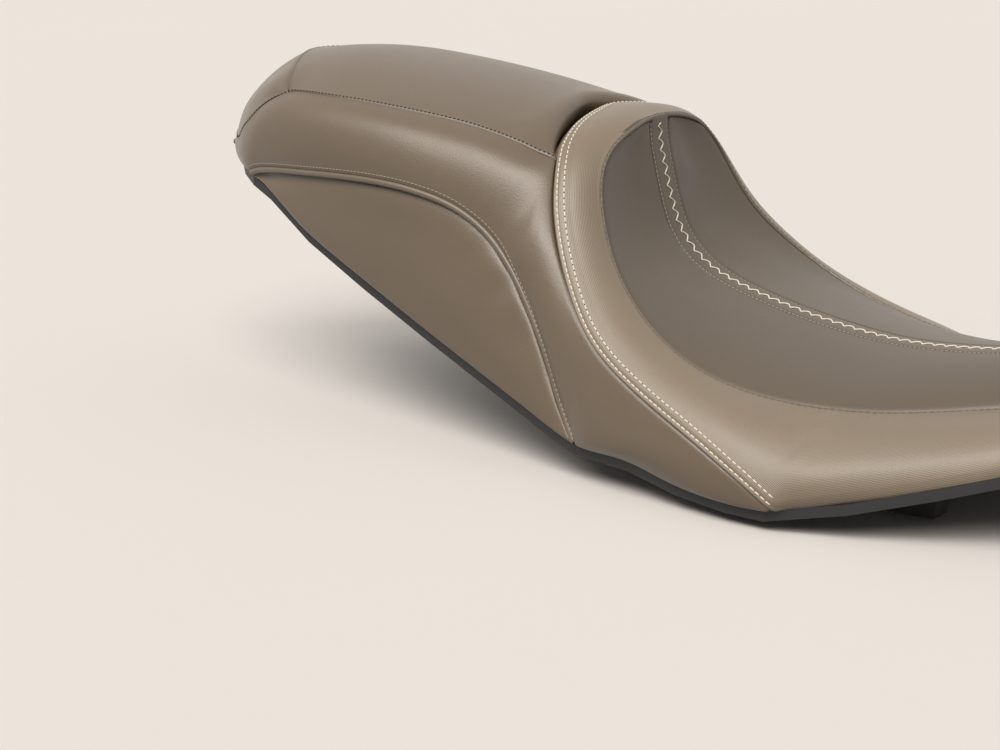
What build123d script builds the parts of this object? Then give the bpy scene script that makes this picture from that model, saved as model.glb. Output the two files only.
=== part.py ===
from build123d import *
from collections import namedtuple
import os

# Two-up touring motorcycle seat: a ribbed moulded pan with its tongue, tab and rubber feet,
# under a one-piece passenger pad and bucket rider seat whose panels meet at sewn seams.
# X runs forward from the fender screw, Y to the left and Z up, in millimetres.

os.makedirs("parts", exist_ok=True)

# Cover panels
STRIP_HALF_WIDTH = 11.0
STRIP_DEPTH = 5.0
STRIP_BACKSET = 3.5
INSERT_BACK_X = 370.0
CROSS_SEAM_MIDDLE_X = 68.0
CROSS_SEAM_END = (118.0, 93.0)
PIPING_RADIUS = 2.8

# Moulded pan
PAN_WALL = 3.2
RIM_DROP = 7.0
RIM_INSET = 4.0
SOFT_GAP = 0.3
RIB_THICKNESS = 2.4
RIB_DEPTH = 10.0
RIB_PITCH = 62.0
CROSS_RIB_COUNT = 11
FIRST_CROSS_RIB_X = 86.0
LONG_RIB_Y = (-66.0, -22.0, 22.0, 66.0)
VENT_LENGTH = 32.0
VENT_WIDTH = 12.0
VENT_X = (519.0, 611.0)
VENT_Y = 44.0

# Rubber feet, each at (x, y, height of its lowest face)
FOOT_LENGTH = 34.0
FOOT_WIDTH = 22.0
FOOT_HEIGHT = 13.0
FOOT_TAPER = 8.0
LAND_MARGIN = 2.5
FEET = {
    "frame_foot_rear": (489.0, 98.0, -173.0),
    "frame_foot_front": (613.0, 84.0, -169.0),
    "fender_foot_rear": (116.0, 50.0, -24.0),
    "fender_foot_front": (240.0, 52.0, -74.0),
}

# Steel rear tab with its screw hole on the origin
TAB_WIDTH = 26.0
TAB_THICKNESS = 2.5
TAB_HOLE_RADIUS = 3.5
TAB_REACH = 13.0
TAB_END_X = 112.0
RIVET_RADIUS = 4.5
RIVET_HEIGHT = 1.8
TAB_RIVET_X = (62.0, 96.0)

# Steel front tongue
TONGUE_WIDTH = 52.0
TONGUE_THICKNESS = 3.0
TONGUE_LAND_X = (656.0, 728.0)
TONGUE_TOP_Z = -124.0
TONGUE_STEP_X = (734.0, 748.0)
TONGUE_STEP = 9.0
TONGUE_TIP_X = 808.0
TONGUE_RIVET_X = (674.0, 712.0)
TONGUE_SLOT_LENGTH = 24.0
TONGUE_SLOT_WIDTH = 11.0

# Lower edge of the cover and height of the pan's deck on the middle line
Hem = namedtuple("Hem", "x hem_y hem_z deck")

HEM = [
    Hem(20, 23, 3, 8),
    Hem(30, 41, 2, 8),
    Hem(45, 64, 0, 8),
    Hem(60, 79.5, -2, 8),
    Hem(82, 96, -6, 8),
    Hem(103, 101.5, -14, 8),
    Hem(145, 110.5, -39, 1),
    Hem(200, 118.5, -65, -22),
    Hem(265, 127, -94, -53),
    Hem(300, 131.5, -109, -69),
    Hem(328, 135, -121, -81),
    Hem(340, 137, -126, -87),
    Hem(352, 138.5, -131, -93),
    Hem(370, 141.5, -138.5, -101),
    Hem(376, 142.5, -141, -104.5),
    Hem(381, 143, -143, -107),
    Hem(389, 144.5, -145.5, -111),
    Hem(400, 146.5, -147.5, -115),
    Hem(412, 148.5, -148, -117.5),
    Hem(440, 153, -149, -122),
    Hem(480, 161, -156, -131),
    Hem(520, 166.5, -159.5, -137),
    Hem(548, 168.5, -159.5, -137.5),
    Hem(600, 158.5, -149, -130),
    Hem(650, 143.5, -135, -117.5),
    Hem(700, 125, -120, -105),
    Hem(735, 106, -111, -97),
    Hem(760, 88, -106, -93),
    Hem(776, 70, -104, -92),
    Hem(790, 43, -102, -91),
]
HEM_AT = {h.x: h for h in HEM}
PAN = [h for h in HEM if 30 <= h.x <= 760]

# Half cross-sections of the cushions above the hem: sewn seam, shoulder, side and piped line
Section = namedtuple("Section",
                     "x top seam_y seam_z crest_y crest_z side_y side_z pipe_y pipe_z")

PASSENGER = [
    Section(20, 35, 18, 26, 23, 21, 26, 14, 25, 8),
    Section(30, 48, 36, 35.5, 44, 26, 47.5, 15, 45, 7),
    Section(45, 63, 59, 33, 65, 25, 69, 14, 68.5, 6),
    Section(60, 73, 70, 40, 77.5, 31, 83, 17, 82.5, 5),
    Section(82, 79, 82, 49, 93, 38.5, 99, 21, 97, -1.5),
    Section(103, 81.5, 89, 54.5, 101, 44, 107, 24, 102.5, 1.5),
    Section(145, 81.5, 98, 59, 112, 47, 117.5, 25, 113.5, 5),
    Section(200, 76, 100, 57, 116, 46, 123.5, 26, 122, 7),
    Section(265, 65.5, 95.5, 49.5, 113.5, 40.5, 123.5, 21, 125, 1.5),
    Section(300, 59.5, 93.5, 43, 112, 33, 122.5, 12, 124.5, -11),
    Section(328, 46, 92.5, 35.5, 111, 22.5, 122.5, -4, 126, -34),
    Section(340, 40, 92, 31, 111, 13, 126, -20, 128, -49),
    Section(352, 30, 98, 21, 115, -1.5, 129.5, -31, 131, -67),
    Section(370, 12, 110, 0, 123.5, -28, 137, -62, 136, -98.5),
    Section(376, 2, 118, -18, 127.5, -38, 140.5, -73, 138, -110.5),
    Section(381, -20, 125, -34, 131, -45.5, 143, -80, 139.5, -121),
]

LEG = [
    Section(381, -20, 125, -34, 131, -45.5, 143, -80, 139.5, -121),
    Section(389, -40, 125, -38, 136, -56, 146.5, -92, 142.5, -134.5),
    Section(400, -55, 125, -44, 142, -68, 151, -104, 151.5, -130),
    Section(412, -70, 125, -53, 147.5, -78.5, 155, -112, 155.5, -135),
    Section(440, -104, 125, -70, 155.5, -95.5, 161.5, -122, 160.5, -139),
    Section(480, -124, 125, -89, 164.5, -114.5, 168, -136, 166, -149),
    Section(520, -146, 125, -105, 171, -134, 171.5, -148, 170, -156),
    Section(548, -168, 125, -124, 168, -150, 170.5, -155.5, 170, -157.5),
]

SADDLE = [
    Section(328, 56, 40, 49, 62, 43, 78, 20, 82, -50),
    Section(340, 59.5, 50, 50.5, 78, 37, 98, 6, 104, -56),
    Section(352, 59.5, 60, 47.5, 94, 26, 109, 0, 118, -64),
    Section(370, 51, 64, 37, 100, 8, 123.5, -28, 134, -86),
    Section(376, 14, 80, 15, 110, -8, 128, -38, 138, -100),
    Section(381, -6, 87, -0.5, 118, -25, 131.5, -46, 141, -108),
    Section(389, -26, 94, -17, 124, -37, 136.5, -56, 144, -118),
    Section(400, -40, 101, -33, 131, -50, 142.5, -68, 150, -124),
    Section(412, -49, 108, -46, 137, -61, 148, -78, 154.5, -128),
    Section(440, -60.5, 118.5, -68, 147, -81, 156.5, -96, 160, -134),
    Section(480, -71.5, 124.5, -89, 155, -98.5, 165.5, -114.5, 166.5, -146),
    Section(520, -78.5, 121.5, -99.5, 158, -111, 171.5, -132, 170, -155),
    Section(548, -82, 115.5, -102.5, 155, -118.5, 169.5, -137, 170.5, -155),
    Section(600, -81.5, 99.5, -103.5, 143, -118, 157, -134, 158.5, -144),
    Section(650, -76.5, 80, -98.5, 124, -109, 139, -122, 143, -131),
    Section(700, -71.5, 66.5, -91.5, 106, -98, 120, -109, 124, -116),
    Section(735, -70.5, 56, -87.5, 90, -92.5, 102, -101, 105.5, -107.5),
    Section(760, -74.5, 41, -85.5, 73, -88, 85, -95, 87.5, -103),
    Section(776, -83.5, 13, -84.5, 46, -86.5, 65, -95, 69, -101.5),
    Section(790, -92, 12, -92.5, 28, -94, 40, -98, 42, -101),
]

# Where the bolster is sewn to the passenger cover: over the hump in plan as (x, y), then
# down the leg in side view as (x, z)
HUMP_SEAM = [(325.5, 0), (333.5, 50), (340.5, 79), (346, 93), (354, 107), (364.5, 119)]
HUMP_SEAM += [(376.5, 128), (391.5, 137.5)]
LEG_SEAM = [(391.5, -59), (409.5, -77), (433, -92), (463, -107), (497, -122.5), (548, -157)]

# The piped line round each side, as (x, y, z)
PIPED_LINE = [(82, 97, -1.5), (103, 102.5, 1.5), (145, 113.5, 5), (200, 122, 7), (265, 125, 1.5)]
PIPED_LINE += [(300, 124.5, -11), (328, 126, -34), (340, 128, -49), (352, 131, -67)]
PIPED_LINE += [(370, 136, -98.5), (376, 138, -110.5), (381, 139.5, -121), (389, 142.5, -134.5)]


def arch_z(hem, y, lift=0.0):
    """Height of the pan's arch at one distance from the middle, raised by lift."""
    rise = hem.deck + lift - hem.hem_z
    rim = hem.hem_y - RIM_INSET
    radius = (rim**2 + rise**2) / (2 * rise)
    return hem.deck + lift - radius + (radius**2 - y**2) ** 0.5


def crown_profile(s, arched=True):
    """The part of a cushion's cross-section between its two sewn seams."""
    hem = HEM_AT[s.x]
    foot = arch_z(hem, s.seam_y, SOFT_GAP) if arched else hem.hem_z
    with BuildSketch(Plane.YZ.offset(s.x)) as profile:
        with BuildLine():
            ThreePointArc((-s.seam_y, s.seam_z), (0, s.top), (s.seam_y, s.seam_z))
            Line((s.seam_y, s.seam_z), (s.seam_y, foot))
            if arched:
                ThreePointArc((s.seam_y, foot), (0, hem.deck + SOFT_GAP), (-s.seam_y, foot))
            else:
                Line((s.seam_y, foot), (-s.seam_y, foot))
            Line((-s.seam_y, foot), (-s.seam_y, s.seam_z))
        make_face()
    return profile.sketch


def side_profile(s, side, top="seam", arched=True):
    """One side of a cross-section: all of it, or the part above or below the piping."""
    hem = HEM_AT[s.x]
    rim = hem.hem_y - RIM_INSET
    inner = side * s.seam_y
    pipe = (side * s.pipe_y, s.pipe_z)
    with BuildSketch(Plane.YZ.offset(s.x)) as profile:
        with BuildLine():
            if top != "skirt":
                ThreePointArc((inner, s.seam_z), (side * s.crest_y, s.crest_z),
                              (side * s.side_y, s.side_z))
                Line((side * s.side_y, s.side_z), pipe)
            high = s.pipe_z if top == "skirt" else s.seam_z
            if top == "panel":
                Polyline(pipe, (inner, s.pipe_z), (inner, s.seam_z))
            else:
                foot = arch_z(hem, s.seam_y, SOFT_GAP) if arched else hem.hem_z
                Line(pipe, (side * hem.hem_y, hem.hem_z))
                if arched:
                    middle = (s.seam_y + rim) / 2
                    Line((side * hem.hem_y, hem.hem_z), (side * rim, hem.hem_z))
                    ThreePointArc((side * rim, hem.hem_z),
                                  (side * middle, arch_z(hem, middle, SOFT_GAP)), (inner, foot))
                else:
                    Line((side * hem.hem_y, hem.hem_z), (inner, foot))
                Line((inner, foot), (inner, high))
                if top == "skirt":
                    Line((inner, high), pipe)
        make_face()
    return profile.sketch


def arch_profile(h, shrink, bottom):
    """The space under the pan's arch, shrunk evenly and closed below the rim."""
    y = h.hem_y - RIM_INSET - shrink
    with BuildSketch(Plane.YZ.offset(h.x)) as profile:
        with BuildLine():
            ThreePointArc((-y, h.hem_z), (0, h.deck - shrink), (y, h.hem_z))
            Polyline((y, h.hem_z), (y, h.hem_z - bottom), (-y, h.hem_z - bottom), (-y, h.hem_z))
        make_face()
    return profile.sketch


def feet_at():
    """Every foot's name, place and lowest face, right and left."""
    for name, (x, y, z) in FEET.items():
        yield f"{name}_right", x, -y, z
        yield f"{name}_left", x, y, z


INNER_PAN = [PAN[0]._replace(x=PAN[0].x + PAN_WALL)] + PAN[1:-1]
INNER_PAN += [PAN[-1]._replace(x=PAN[-1].x - PAN_WALL)]

# Ribs that hang from the pan's inner face
with BuildPart() as rib_grid:
    with Locations([(FIRST_CROSS_RIB_X + i * RIB_PITCH, 0, -80) for i in range(CROSS_RIB_COUNT)]):
        Box(RIB_THICKNESS, 360, 260)
    with Locations([(400, y, -80) for y in LONG_RIB_Y]):
        Box(760, RIB_THICKNESS, 260)

with BuildPart() as ribs:
    loft(sections=[arch_profile(h, PAN_WALL / 2, RIM_DROP - 2) for h in INNER_PAN], ruled=True)
    loft(sections=[arch_profile(h, PAN_WALL + RIB_DEPTH, RIM_DROP + 20) for h in INNER_PAN],
         ruled=True, mode=Mode.SUBTRACT)
    add(rib_grid.part, mode=Mode.INTERSECT)

# Solid towers and lands that the feet, the tab and the tongue are fixed to
with BuildPart() as lands:
    for name, x, y, z in feet_at():
        with Locations((x, y, z + FOOT_HEIGHT)):
            Box(FOOT_LENGTH + 2 * LAND_MARGIN, FOOT_WIDTH + 2 * LAND_MARGIN, 80,
                align=(Align.CENTER, Align.CENTER, Align.MIN))
    with Locations((TAB_END_X / 2 + 24, 0, TAB_THICKNESS)):
        Box(TAB_END_X - 40, TAB_WIDTH + 8, 30, align=(Align.CENTER, Align.CENTER, Align.MIN))
    with Locations((sum(TONGUE_LAND_X) / 2, 0, TONGUE_TOP_Z)):
        Box(TONGUE_LAND_X[1] - TONGUE_LAND_X[0], TONGUE_WIDTH + 8, 60,
            align=(Align.CENTER, Align.CENTER, Align.MIN))
    loft(sections=[arch_profile(h, PAN_WALL / 2, 160) for h in INNER_PAN], ruled=True,
         mode=Mode.INTERSECT)

with BuildPart() as seat_pan:
    loft(sections=[arch_profile(h, 0, RIM_DROP) for h in PAN], ruled=True)
    loft(sections=[arch_profile(h, PAN_WALL, RIM_DROP + 20) for h in INNER_PAN],
         ruled=True, mode=Mode.SUBTRACT)
    add(ribs.part)
    add(lands.part)
    for name, x, y, z in feet_at():
        with Locations((x, y, z + FOOT_HEIGHT)):
            Box(FOOT_LENGTH + 6, FOOT_WIDTH + 6, 40,
                align=(Align.CENTER, Align.CENTER, Align.MAX), mode=Mode.SUBTRACT)
    with Locations((0, 0, TAB_THICKNESS)):
        Box(TAB_END_X + 4, TAB_WIDTH + 3, 20,
            align=(Align.MIN, Align.CENTER, Align.MAX), mode=Mode.SUBTRACT)
    with Locations((TONGUE_LAND_X[0] - 1, 0, TONGUE_TOP_Z)):
        Box(150, TONGUE_WIDTH + 3, 30,
            align=(Align.MIN, Align.CENTER, Align.MAX), mode=Mode.SUBTRACT)
    with Locations([(x, y, -140) for x in VENT_X for y in (-VENT_Y, VENT_Y)]):
        Box(VENT_LENGTH, VENT_WIDTH, 60, mode=Mode.SUBTRACT)
    with Locations([(x, 0, TAB_THICKNESS) for x in TAB_RIVET_X]):
        Cylinder(RIVET_RADIUS / 2, 8, mode=Mode.SUBTRACT)
seat_pan.part.label = "seat_pan"

# Steel tab on the fender screw, with its rivet heads
with BuildPart() as rear_tab:
    with BuildSketch():
        with Locations((TAB_END_X / 2, 0)):
            Rectangle(TAB_END_X, TAB_WIDTH)
        Circle(TAB_REACH)
        Circle(TAB_HOLE_RADIUS, mode=Mode.SUBTRACT)
    extrude(amount=TAB_THICKNESS)
    with Locations([(x, 0, -RIVET_HEIGHT) for x in TAB_RIVET_X]):
        Cylinder(RIVET_RADIUS, RIVET_HEIGHT, align=(Align.CENTER, Align.CENTER, Align.MIN))
    with Locations([(x, 0, 0) for x in TAB_RIVET_X]):
        Cylinder(RIVET_RADIUS / 2, TAB_THICKNESS + 4, align=(Align.CENTER, Align.CENTER, Align.MIN))
rear_tab.part.label = "rear_tab"

# Steel tongue that hooks under the frame, with its rivet heads
with BuildPart() as front_tongue:
    x0, x1 = TONGUE_LAND_X
    z0 = TONGUE_TOP_Z
    with BuildSketch(Plane.XZ.offset(-TONGUE_WIDTH / 2)):
        with BuildLine():
            back, front = TONGUE_STEP_X
            low = z0 - TONGUE_STEP
            Polyline(
                (x0, z0), (back, z0), (front, low), (TONGUE_TIP_X, low),
                (TONGUE_TIP_X, low - TONGUE_THICKNESS), (front - 1, low - TONGUE_THICKNESS),
                (back - 1, z0 - TONGUE_THICKNESS), (x0, z0 - TONGUE_THICKNESS), (x0, z0),
            )
        make_face()
    extrude(amount=TONGUE_WIDTH)
    fillet(front_tongue.edges().filter_by(Axis.Z).group_by(Axis.X)[-1], TONGUE_WIDTH / 4)
    with Locations((TONGUE_TIP_X - TONGUE_SLOT_WIDTH - 6, 0, z0 - TONGUE_STEP)):
        Box(TONGUE_SLOT_WIDTH, TONGUE_SLOT_LENGTH, 12, mode=Mode.SUBTRACT)
    with Locations([(x, 0, z0 - TONGUE_THICKNESS - RIVET_HEIGHT) for x in TONGUE_RIVET_X]):
        Cylinder(RIVET_RADIUS, RIVET_HEIGHT, align=(Align.CENTER, Align.CENTER, Align.MIN))
front_tongue.part.label = "front_tongue"

# Rubber feet
feet = []
for name, x, y, z in feet_at():
    with BuildPart() as foot:
        with BuildSketch(Plane.XY.offset(z + FOOT_HEIGHT)):
            with Locations((x, y)):
                Rectangle(FOOT_LENGTH, FOOT_WIDTH)
        extrude(amount=-FOOT_HEIGHT, taper=FOOT_TAPER)
    foot.part.label = name
    feet.append(foot)

# Everything behind and below the line where the bolster is sewn on
with BuildPart() as rear_zone:
    seam_x, seam_y = HUMP_SEAM[-1]
    with BuildSketch(Plane.XY.offset(-300)):
        with BuildLine():
            Polyline([(x, -y) for x, y in HUMP_SEAM[:0:-1]] + HUMP_SEAM
                     + [(seam_x, 250), (-60, 250), (-60, -250), (seam_x, -250), (seam_x, -seam_y)])
        make_face()
    extrude(amount=500)
    for start in (LEG[0].seam_y, -250):
        with BuildSketch(Plane.XZ.offset(start)):
            with BuildLine():
                x, z = LEG_SEAM[-1]
                back = seam_x - 25
                Polyline(LEG_SEAM + [(x, -300), (back, -300), (back, LEG_SEAM[0][1]), LEG_SEAM[0]])
            make_face()
        extrude(amount=250 - LEG[0].seam_y)

# Everything in front of the seam that crosses the passenger pad
with BuildPart() as pad_zone:
    seam_x, seam_y = CROSS_SEAM_END
    with BuildSketch(Plane.XY.offset(-300)):
        with BuildLine():
            ThreePointArc((seam_x, -seam_y), (CROSS_SEAM_MIDDLE_X, 0), (seam_x, seam_y))
            Polyline((seam_x, seam_y), (seam_x, 250), (900, 250), (900, -250), (seam_x, -250),
                     (seam_x, -seam_y))
        make_face()
    extrude(amount=500)

# Welt along the lower edge of the passenger cover, right and left
pipings = []
for side, name in ((-1, "piping_right"), (1, "piping_left")):
    with BuildPart() as piping:
        with BuildLine() as path:
            Polyline([(x, side * y, z) for x, y, z in PIPED_LINE])
        with BuildSketch(Plane(path.line @ 0, z_dir=path.line % 0)):
            RegularPolygon(PIPING_RADIUS, 8)
        sweep(transition=Transition.RIGHT)
    piping.part.label = name
    pipings.append(piping)

# Passenger cushion: the crown between its seams, a side panel and a skirt on each side
skirts = []
panels = []
for number, side in enumerate((-1, 1)):
    hand = "left" if number else "right"
    with BuildPart() as skirt:
        loft(sections=[side_profile(s, side, "skirt") for s in PASSENGER[1:]], ruled=True)
        loft(sections=[side_profile(s, side, "skirt", arched=False) for s in PASSENGER[:2]], ruled=True)
        add(pipings[number].part, mode=Mode.SUBTRACT)
    skirt.part.label = f"passenger_skirt_{hand}"
    skirts.append(skirt)
    with BuildPart() as panel:
        loft(sections=[side_profile(s, side, "panel") for s in PASSENGER], ruled=True)
        loft(sections=[side_profile(s, side) for s in LEG], ruled=True)
        add(rear_zone.part, mode=Mode.INTERSECT)
        add(pipings[number].part, mode=Mode.SUBTRACT)
    panel.part.label = f"passenger_side_{hand}"
    panels.append(panel)

with BuildPart() as passenger_crown:
    loft(sections=[crown_profile(s) for s in PASSENGER[1:]], ruled=True)
    add(rear_zone.part, mode=Mode.INTERSECT)

with BuildPart() as passenger_top:
    add(passenger_crown.part)
    add(pad_zone.part, mode=Mode.INTERSECT)
passenger_top.part.label = "passenger_top"

with BuildPart() as passenger_tail:
    add(passenger_crown.part)
    add(pad_zone.part, mode=Mode.SUBTRACT)
    loft(sections=[crown_profile(s, arched=False) for s in PASSENGER[:2]], ruled=True)
passenger_tail.part.label = "passenger_tail"

# Rider seat: insert, centre strip and bolster
arched = [s for s in SADDLE if s.x <= PAN[-1].x]
flat = [s for s in SADDLE if s.x >= PAN[-1].x]
with BuildPart() as rider_cushion:
    loft(sections=[crown_profile(s) for s in arched if s.x >= INSERT_BACK_X], ruled=True)
    loft(sections=[crown_profile(s, arched=False) for s in flat[:-1]], ruled=True)

with BuildPart() as rider_strip:
    add(rider_cushion.part)
    with Locations((INSERT_BACK_X, 0, 0)):
        Box(900, 2 * STRIP_HALF_WIDTH, 900, align=(Align.MIN, Align.CENTER, Align.CENTER),
            mode=Mode.INTERSECT)
    add(rider_cushion.part.moved(Location((-STRIP_BACKSET, 0, -STRIP_DEPTH))), mode=Mode.SUBTRACT)
rider_strip.part.label = "rider_centre_strip"

with BuildPart() as rider_insert:
    add(rider_cushion.part)
    add(rider_strip.part, mode=Mode.SUBTRACT)
rider_insert.part.label = "rider_insert"

bolster_pieces = []
for side in (-1, 1):
    with BuildPart() as arm:
        loft(sections=[side_profile(s, side) for s in arched], ruled=True)
        loft(sections=[side_profile(s, side, arched=False) for s in flat], ruled=True)
        add(rear_zone.part, mode=Mode.SUBTRACT)
    bolster_pieces.append(arm)
with BuildPart() as hump:
    loft(sections=[crown_profile(s) for s in arched if s.x <= INSERT_BACK_X], ruled=True)
    add(rear_zone.part, mode=Mode.SUBTRACT)
bolster_pieces.append(hump)
with BuildPart() as nose:
    loft(sections=[crown_profile(s, arched=False) for s in flat[-2:]], ruled=True)
bolster_pieces.append(nose)
with BuildPart() as rider_bolster:
    for piece in bolster_pieces:
        add(piece.part)
rider_bolster.part.label = "rider_bolster"

built = [seat_pan, rear_tab, front_tongue, passenger_top, passenger_tail]
built += [rider_insert, rider_strip, rider_bolster]
built += panels + skirts + pipings + feet
for body in built:
    export_step(body.part, f"parts/{body.part.label}.step")
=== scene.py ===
import math

import bpy
import numpy as np
from mathutils import Matrix, Vector


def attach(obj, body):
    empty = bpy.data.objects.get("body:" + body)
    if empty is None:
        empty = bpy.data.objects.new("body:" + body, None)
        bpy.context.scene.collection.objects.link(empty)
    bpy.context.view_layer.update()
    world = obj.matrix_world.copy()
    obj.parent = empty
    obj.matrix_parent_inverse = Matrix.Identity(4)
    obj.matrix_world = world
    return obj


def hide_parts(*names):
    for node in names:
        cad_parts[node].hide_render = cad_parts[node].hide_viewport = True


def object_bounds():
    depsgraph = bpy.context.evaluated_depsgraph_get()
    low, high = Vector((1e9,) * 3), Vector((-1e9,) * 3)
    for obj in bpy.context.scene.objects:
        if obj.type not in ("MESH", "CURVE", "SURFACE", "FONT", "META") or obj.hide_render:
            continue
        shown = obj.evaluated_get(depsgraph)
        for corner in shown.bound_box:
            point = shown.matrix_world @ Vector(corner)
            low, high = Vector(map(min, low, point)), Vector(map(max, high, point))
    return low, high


# The looks of a two-up touring seat: sewn vinyl panels over foam on a black ribbed pan.
# Tables are in millimetres in the seat's frame: X forward, Y left, Z up, origin at the
# screw hole of the rear tab. They hold the right side (Y below zero); the left mirrors it.

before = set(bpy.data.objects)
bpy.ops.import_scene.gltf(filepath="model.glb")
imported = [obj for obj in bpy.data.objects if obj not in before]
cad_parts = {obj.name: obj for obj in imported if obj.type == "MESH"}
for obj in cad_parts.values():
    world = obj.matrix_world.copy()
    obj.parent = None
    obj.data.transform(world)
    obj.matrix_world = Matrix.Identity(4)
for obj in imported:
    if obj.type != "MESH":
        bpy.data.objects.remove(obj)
cad_low, cad_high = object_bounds()
MM = 0.001
scene = bpy.context.scene

# Camera
CAMERA_TURN, CAMERA_TILT = 35.0, 14.0      # degrees
CAMERA_DISTANCE = 1.6                      # metres to the aimed point
PHOTO_SIZE = (1000.0, 750.0)               # pixels
FOCAL_PIXELS = 2400.0
SENSOR_WIDTH = 36.0
AIM_PIXEL = (830.0, 320.0)
AIM_POINT = Vector((0.505, 0.0, -0.076))


def place_camera():
    turn, tilt = math.radians(CAMERA_TURN), math.radians(CAMERA_TILT)
    back = Vector((math.sin(turn) * math.cos(tilt), -math.cos(turn) * math.cos(tilt),
                   math.sin(tilt)))
    right = Vector((math.cos(turn), math.sin(turn), 0.0))
    up = back.cross(right)
    across = (AIM_PIXEL[0] - PHOTO_SIZE[0] / 2) / FOCAL_PIXELS
    down = (AIM_PIXEL[1] - PHOTO_SIZE[1] / 2) / FOCAL_PIXELS
    spot = AIM_POINT + CAMERA_DISTANCE * (back - right * across + up * down)
    data = bpy.data.cameras.new("camera")
    data.sensor_width = SENSOR_WIDTH
    data.lens = FOCAL_PIXELS * SENSOR_WIDTH / PHOTO_SIZE[0]
    data.clip_start, data.clip_end = 0.05, 60.0
    camera = bpy.data.objects.new("camera", data)
    turned = Matrix((right, up, back)).transposed().to_4x4()
    camera.matrix_world = Matrix.Translation(spot) @ turned
    scene.collection.objects.link(camera)
    scene.camera = camera


place_camera()


# Curves and panels
def spline_weights(knots, at):
    """Rows of weights that turn values at the knots into a natural cubic spline's values."""
    knots, at = np.asarray(knots, float), np.asarray(at, float)
    n = len(knots)
    step = np.diff(knots)
    system, pull = np.eye(n), np.zeros((n, n))
    for i in range(1, n - 1):
        system[i, i - 1:i + 2] = step[i - 1], 2 * (step[i - 1] + step[i]), step[i]
        pull[i, i - 1] = 6 / step[i - 1]
        pull[i, i] = -6 / step[i - 1] - 6 / step[i]
        pull[i, i + 1] = 6 / step[i]
    bends = np.linalg.solve(system, pull)
    cell = np.clip(np.searchsorted(knots, at) - 1, 0, n - 2)
    h = step[cell]
    left, right = (knots[cell + 1] - at) / h, (at - knots[cell]) / h
    eye = np.eye(n)
    return (left[:, None] * eye[cell] + right[:, None] * eye[cell + 1]
            + ((left ** 3 - left) * h * h / 6)[:, None] * bends[cell]
            + ((right ** 3 - right) * h * h / 6)[:, None] * bends[cell + 1])


def lengths(points):
    """Running length along points, from 0."""
    return np.concatenate([[0.0], np.cumsum(np.linalg.norm(np.diff(points, axis=0), axis=1))])


class Seam:
    """A smooth line in space that two panels share."""

    def __init__(self, points=None, dense=None):
        if dense is None:
            points = np.asarray(points, float)
            knots = np.concatenate([[0.0], np.cumsum(
                np.sqrt(np.linalg.norm(np.diff(points, axis=0), axis=1)))])
            fine = np.linspace(0, knots[-1], 40 * len(points))
            dense = spline_weights(knots, fine) @ points
        self.dense = np.asarray(dense, float)
        self.run = lengths(self.dense)

    def at(self, s):
        return np.stack([np.interp(s, self.run, self.dense[:, k]) for k in range(3)], axis=-1)

    def places(self, count):
        """Evenly spaced points from end to end."""
        return self.at(np.linspace(0, self.run[-1], count))

    def near(self, point):
        gap = np.linalg.norm(self.dense - np.asarray(point, float), axis=1)
        return self.run[int(np.argmin(gap))]

    def part(self, start, end):
        """The stretch between the places nearest to two points."""
        a, b = self.near(start), self.near(end)
        steps = max(int(abs(b - a) / 0.8), 4)
        return Seam(dense=self.at(np.linspace(a, b, steps)))

    def across(self):
        """The same line on the other side."""
        return Seam(dense=self.dense * (1, -1, 1))

    def backwards(self):
        return Seam(dense=self.dense[::-1])

    def then(self, other):
        return Seam(dense=np.concatenate([self.dense, other.dense[1:]]))

    def there_and_back(self):
        """The line, then its twin on the other side, run backwards."""
        return self.then(self.across().backwards())


def mirror_ribs(ribs):
    return [[(x, -y, z) for x, y, z in rib] for rib in ribs]


# Corners and ends of the seams
TAIL_END = (15, 0, 17)
CROSS_CORNER = (118, -93, 57.9)
HUMP_CORNER = (343.9, -87.8, 29.6)
HUMP_TOP = (325.5, 0, 53.3)
LEG_FOOT = (557, -169.3, -158.3)
WELT_START, WELT_END = (82, -96, -4.5), (397, -146, -147)
HEM_REAR, HEM_SIDE, HEM_NOSE = (21, 0, 3), (557, -168.4, -158.6), (796, 0, -101.2)

TOP_SEAM = Seam([
    TAIL_END, (17, -20, 17), (23, -38, 17), (29.5, -48, 16.6), (36.8, -57.5, 16),
    (43.5, -65, 15.8), (51.5, -73.6, 16.5), (58.5, -80.6, 17.8), (62.8, -84.7, 19.7),
    (66.5, -86.8, 24), (70.4, -88.9, 27.8), (75.5, -91.6, 31.4), (81.6, -93.8, 36),
    (87, -94.4, 40.7), (91.5, -94, 44.6), (96.6, -93.4, 48.5), (103.7, -93.3, 52.3),
    (110.2, -93.2, 55.2), CROSS_CORNER, (151.4, -99, 59.2), (196.7, -100, 57.1),
    (238.3, -98, 53.2), (277.5, -94.5, 47.7), (318, -93, 38.5), (329, -91.5, 34.5),
    (335.5, -89.5, 32), HUMP_CORNER])
BOLSTER_SEAM = Seam([
    HUMP_TOP, (330, -26, 51.5), (333.5, -50, 46.8), (336.9, -65, 42.2),
    (340.5, -79, 36), HUMP_CORNER, (353.9, -107, 5.2), (364.5, -119, -18.6),
    (376.5, -128, -39.3), (391.5, -137.5, -58.8), (409.7, -146.5, -76.6),
    (433.3, -154, -92), (463.2, -161, -107), (497.3, -168, -122.4), (528, -172, -138.5),
    (545, -171.5, -149.5), LEG_FOOT])
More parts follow.
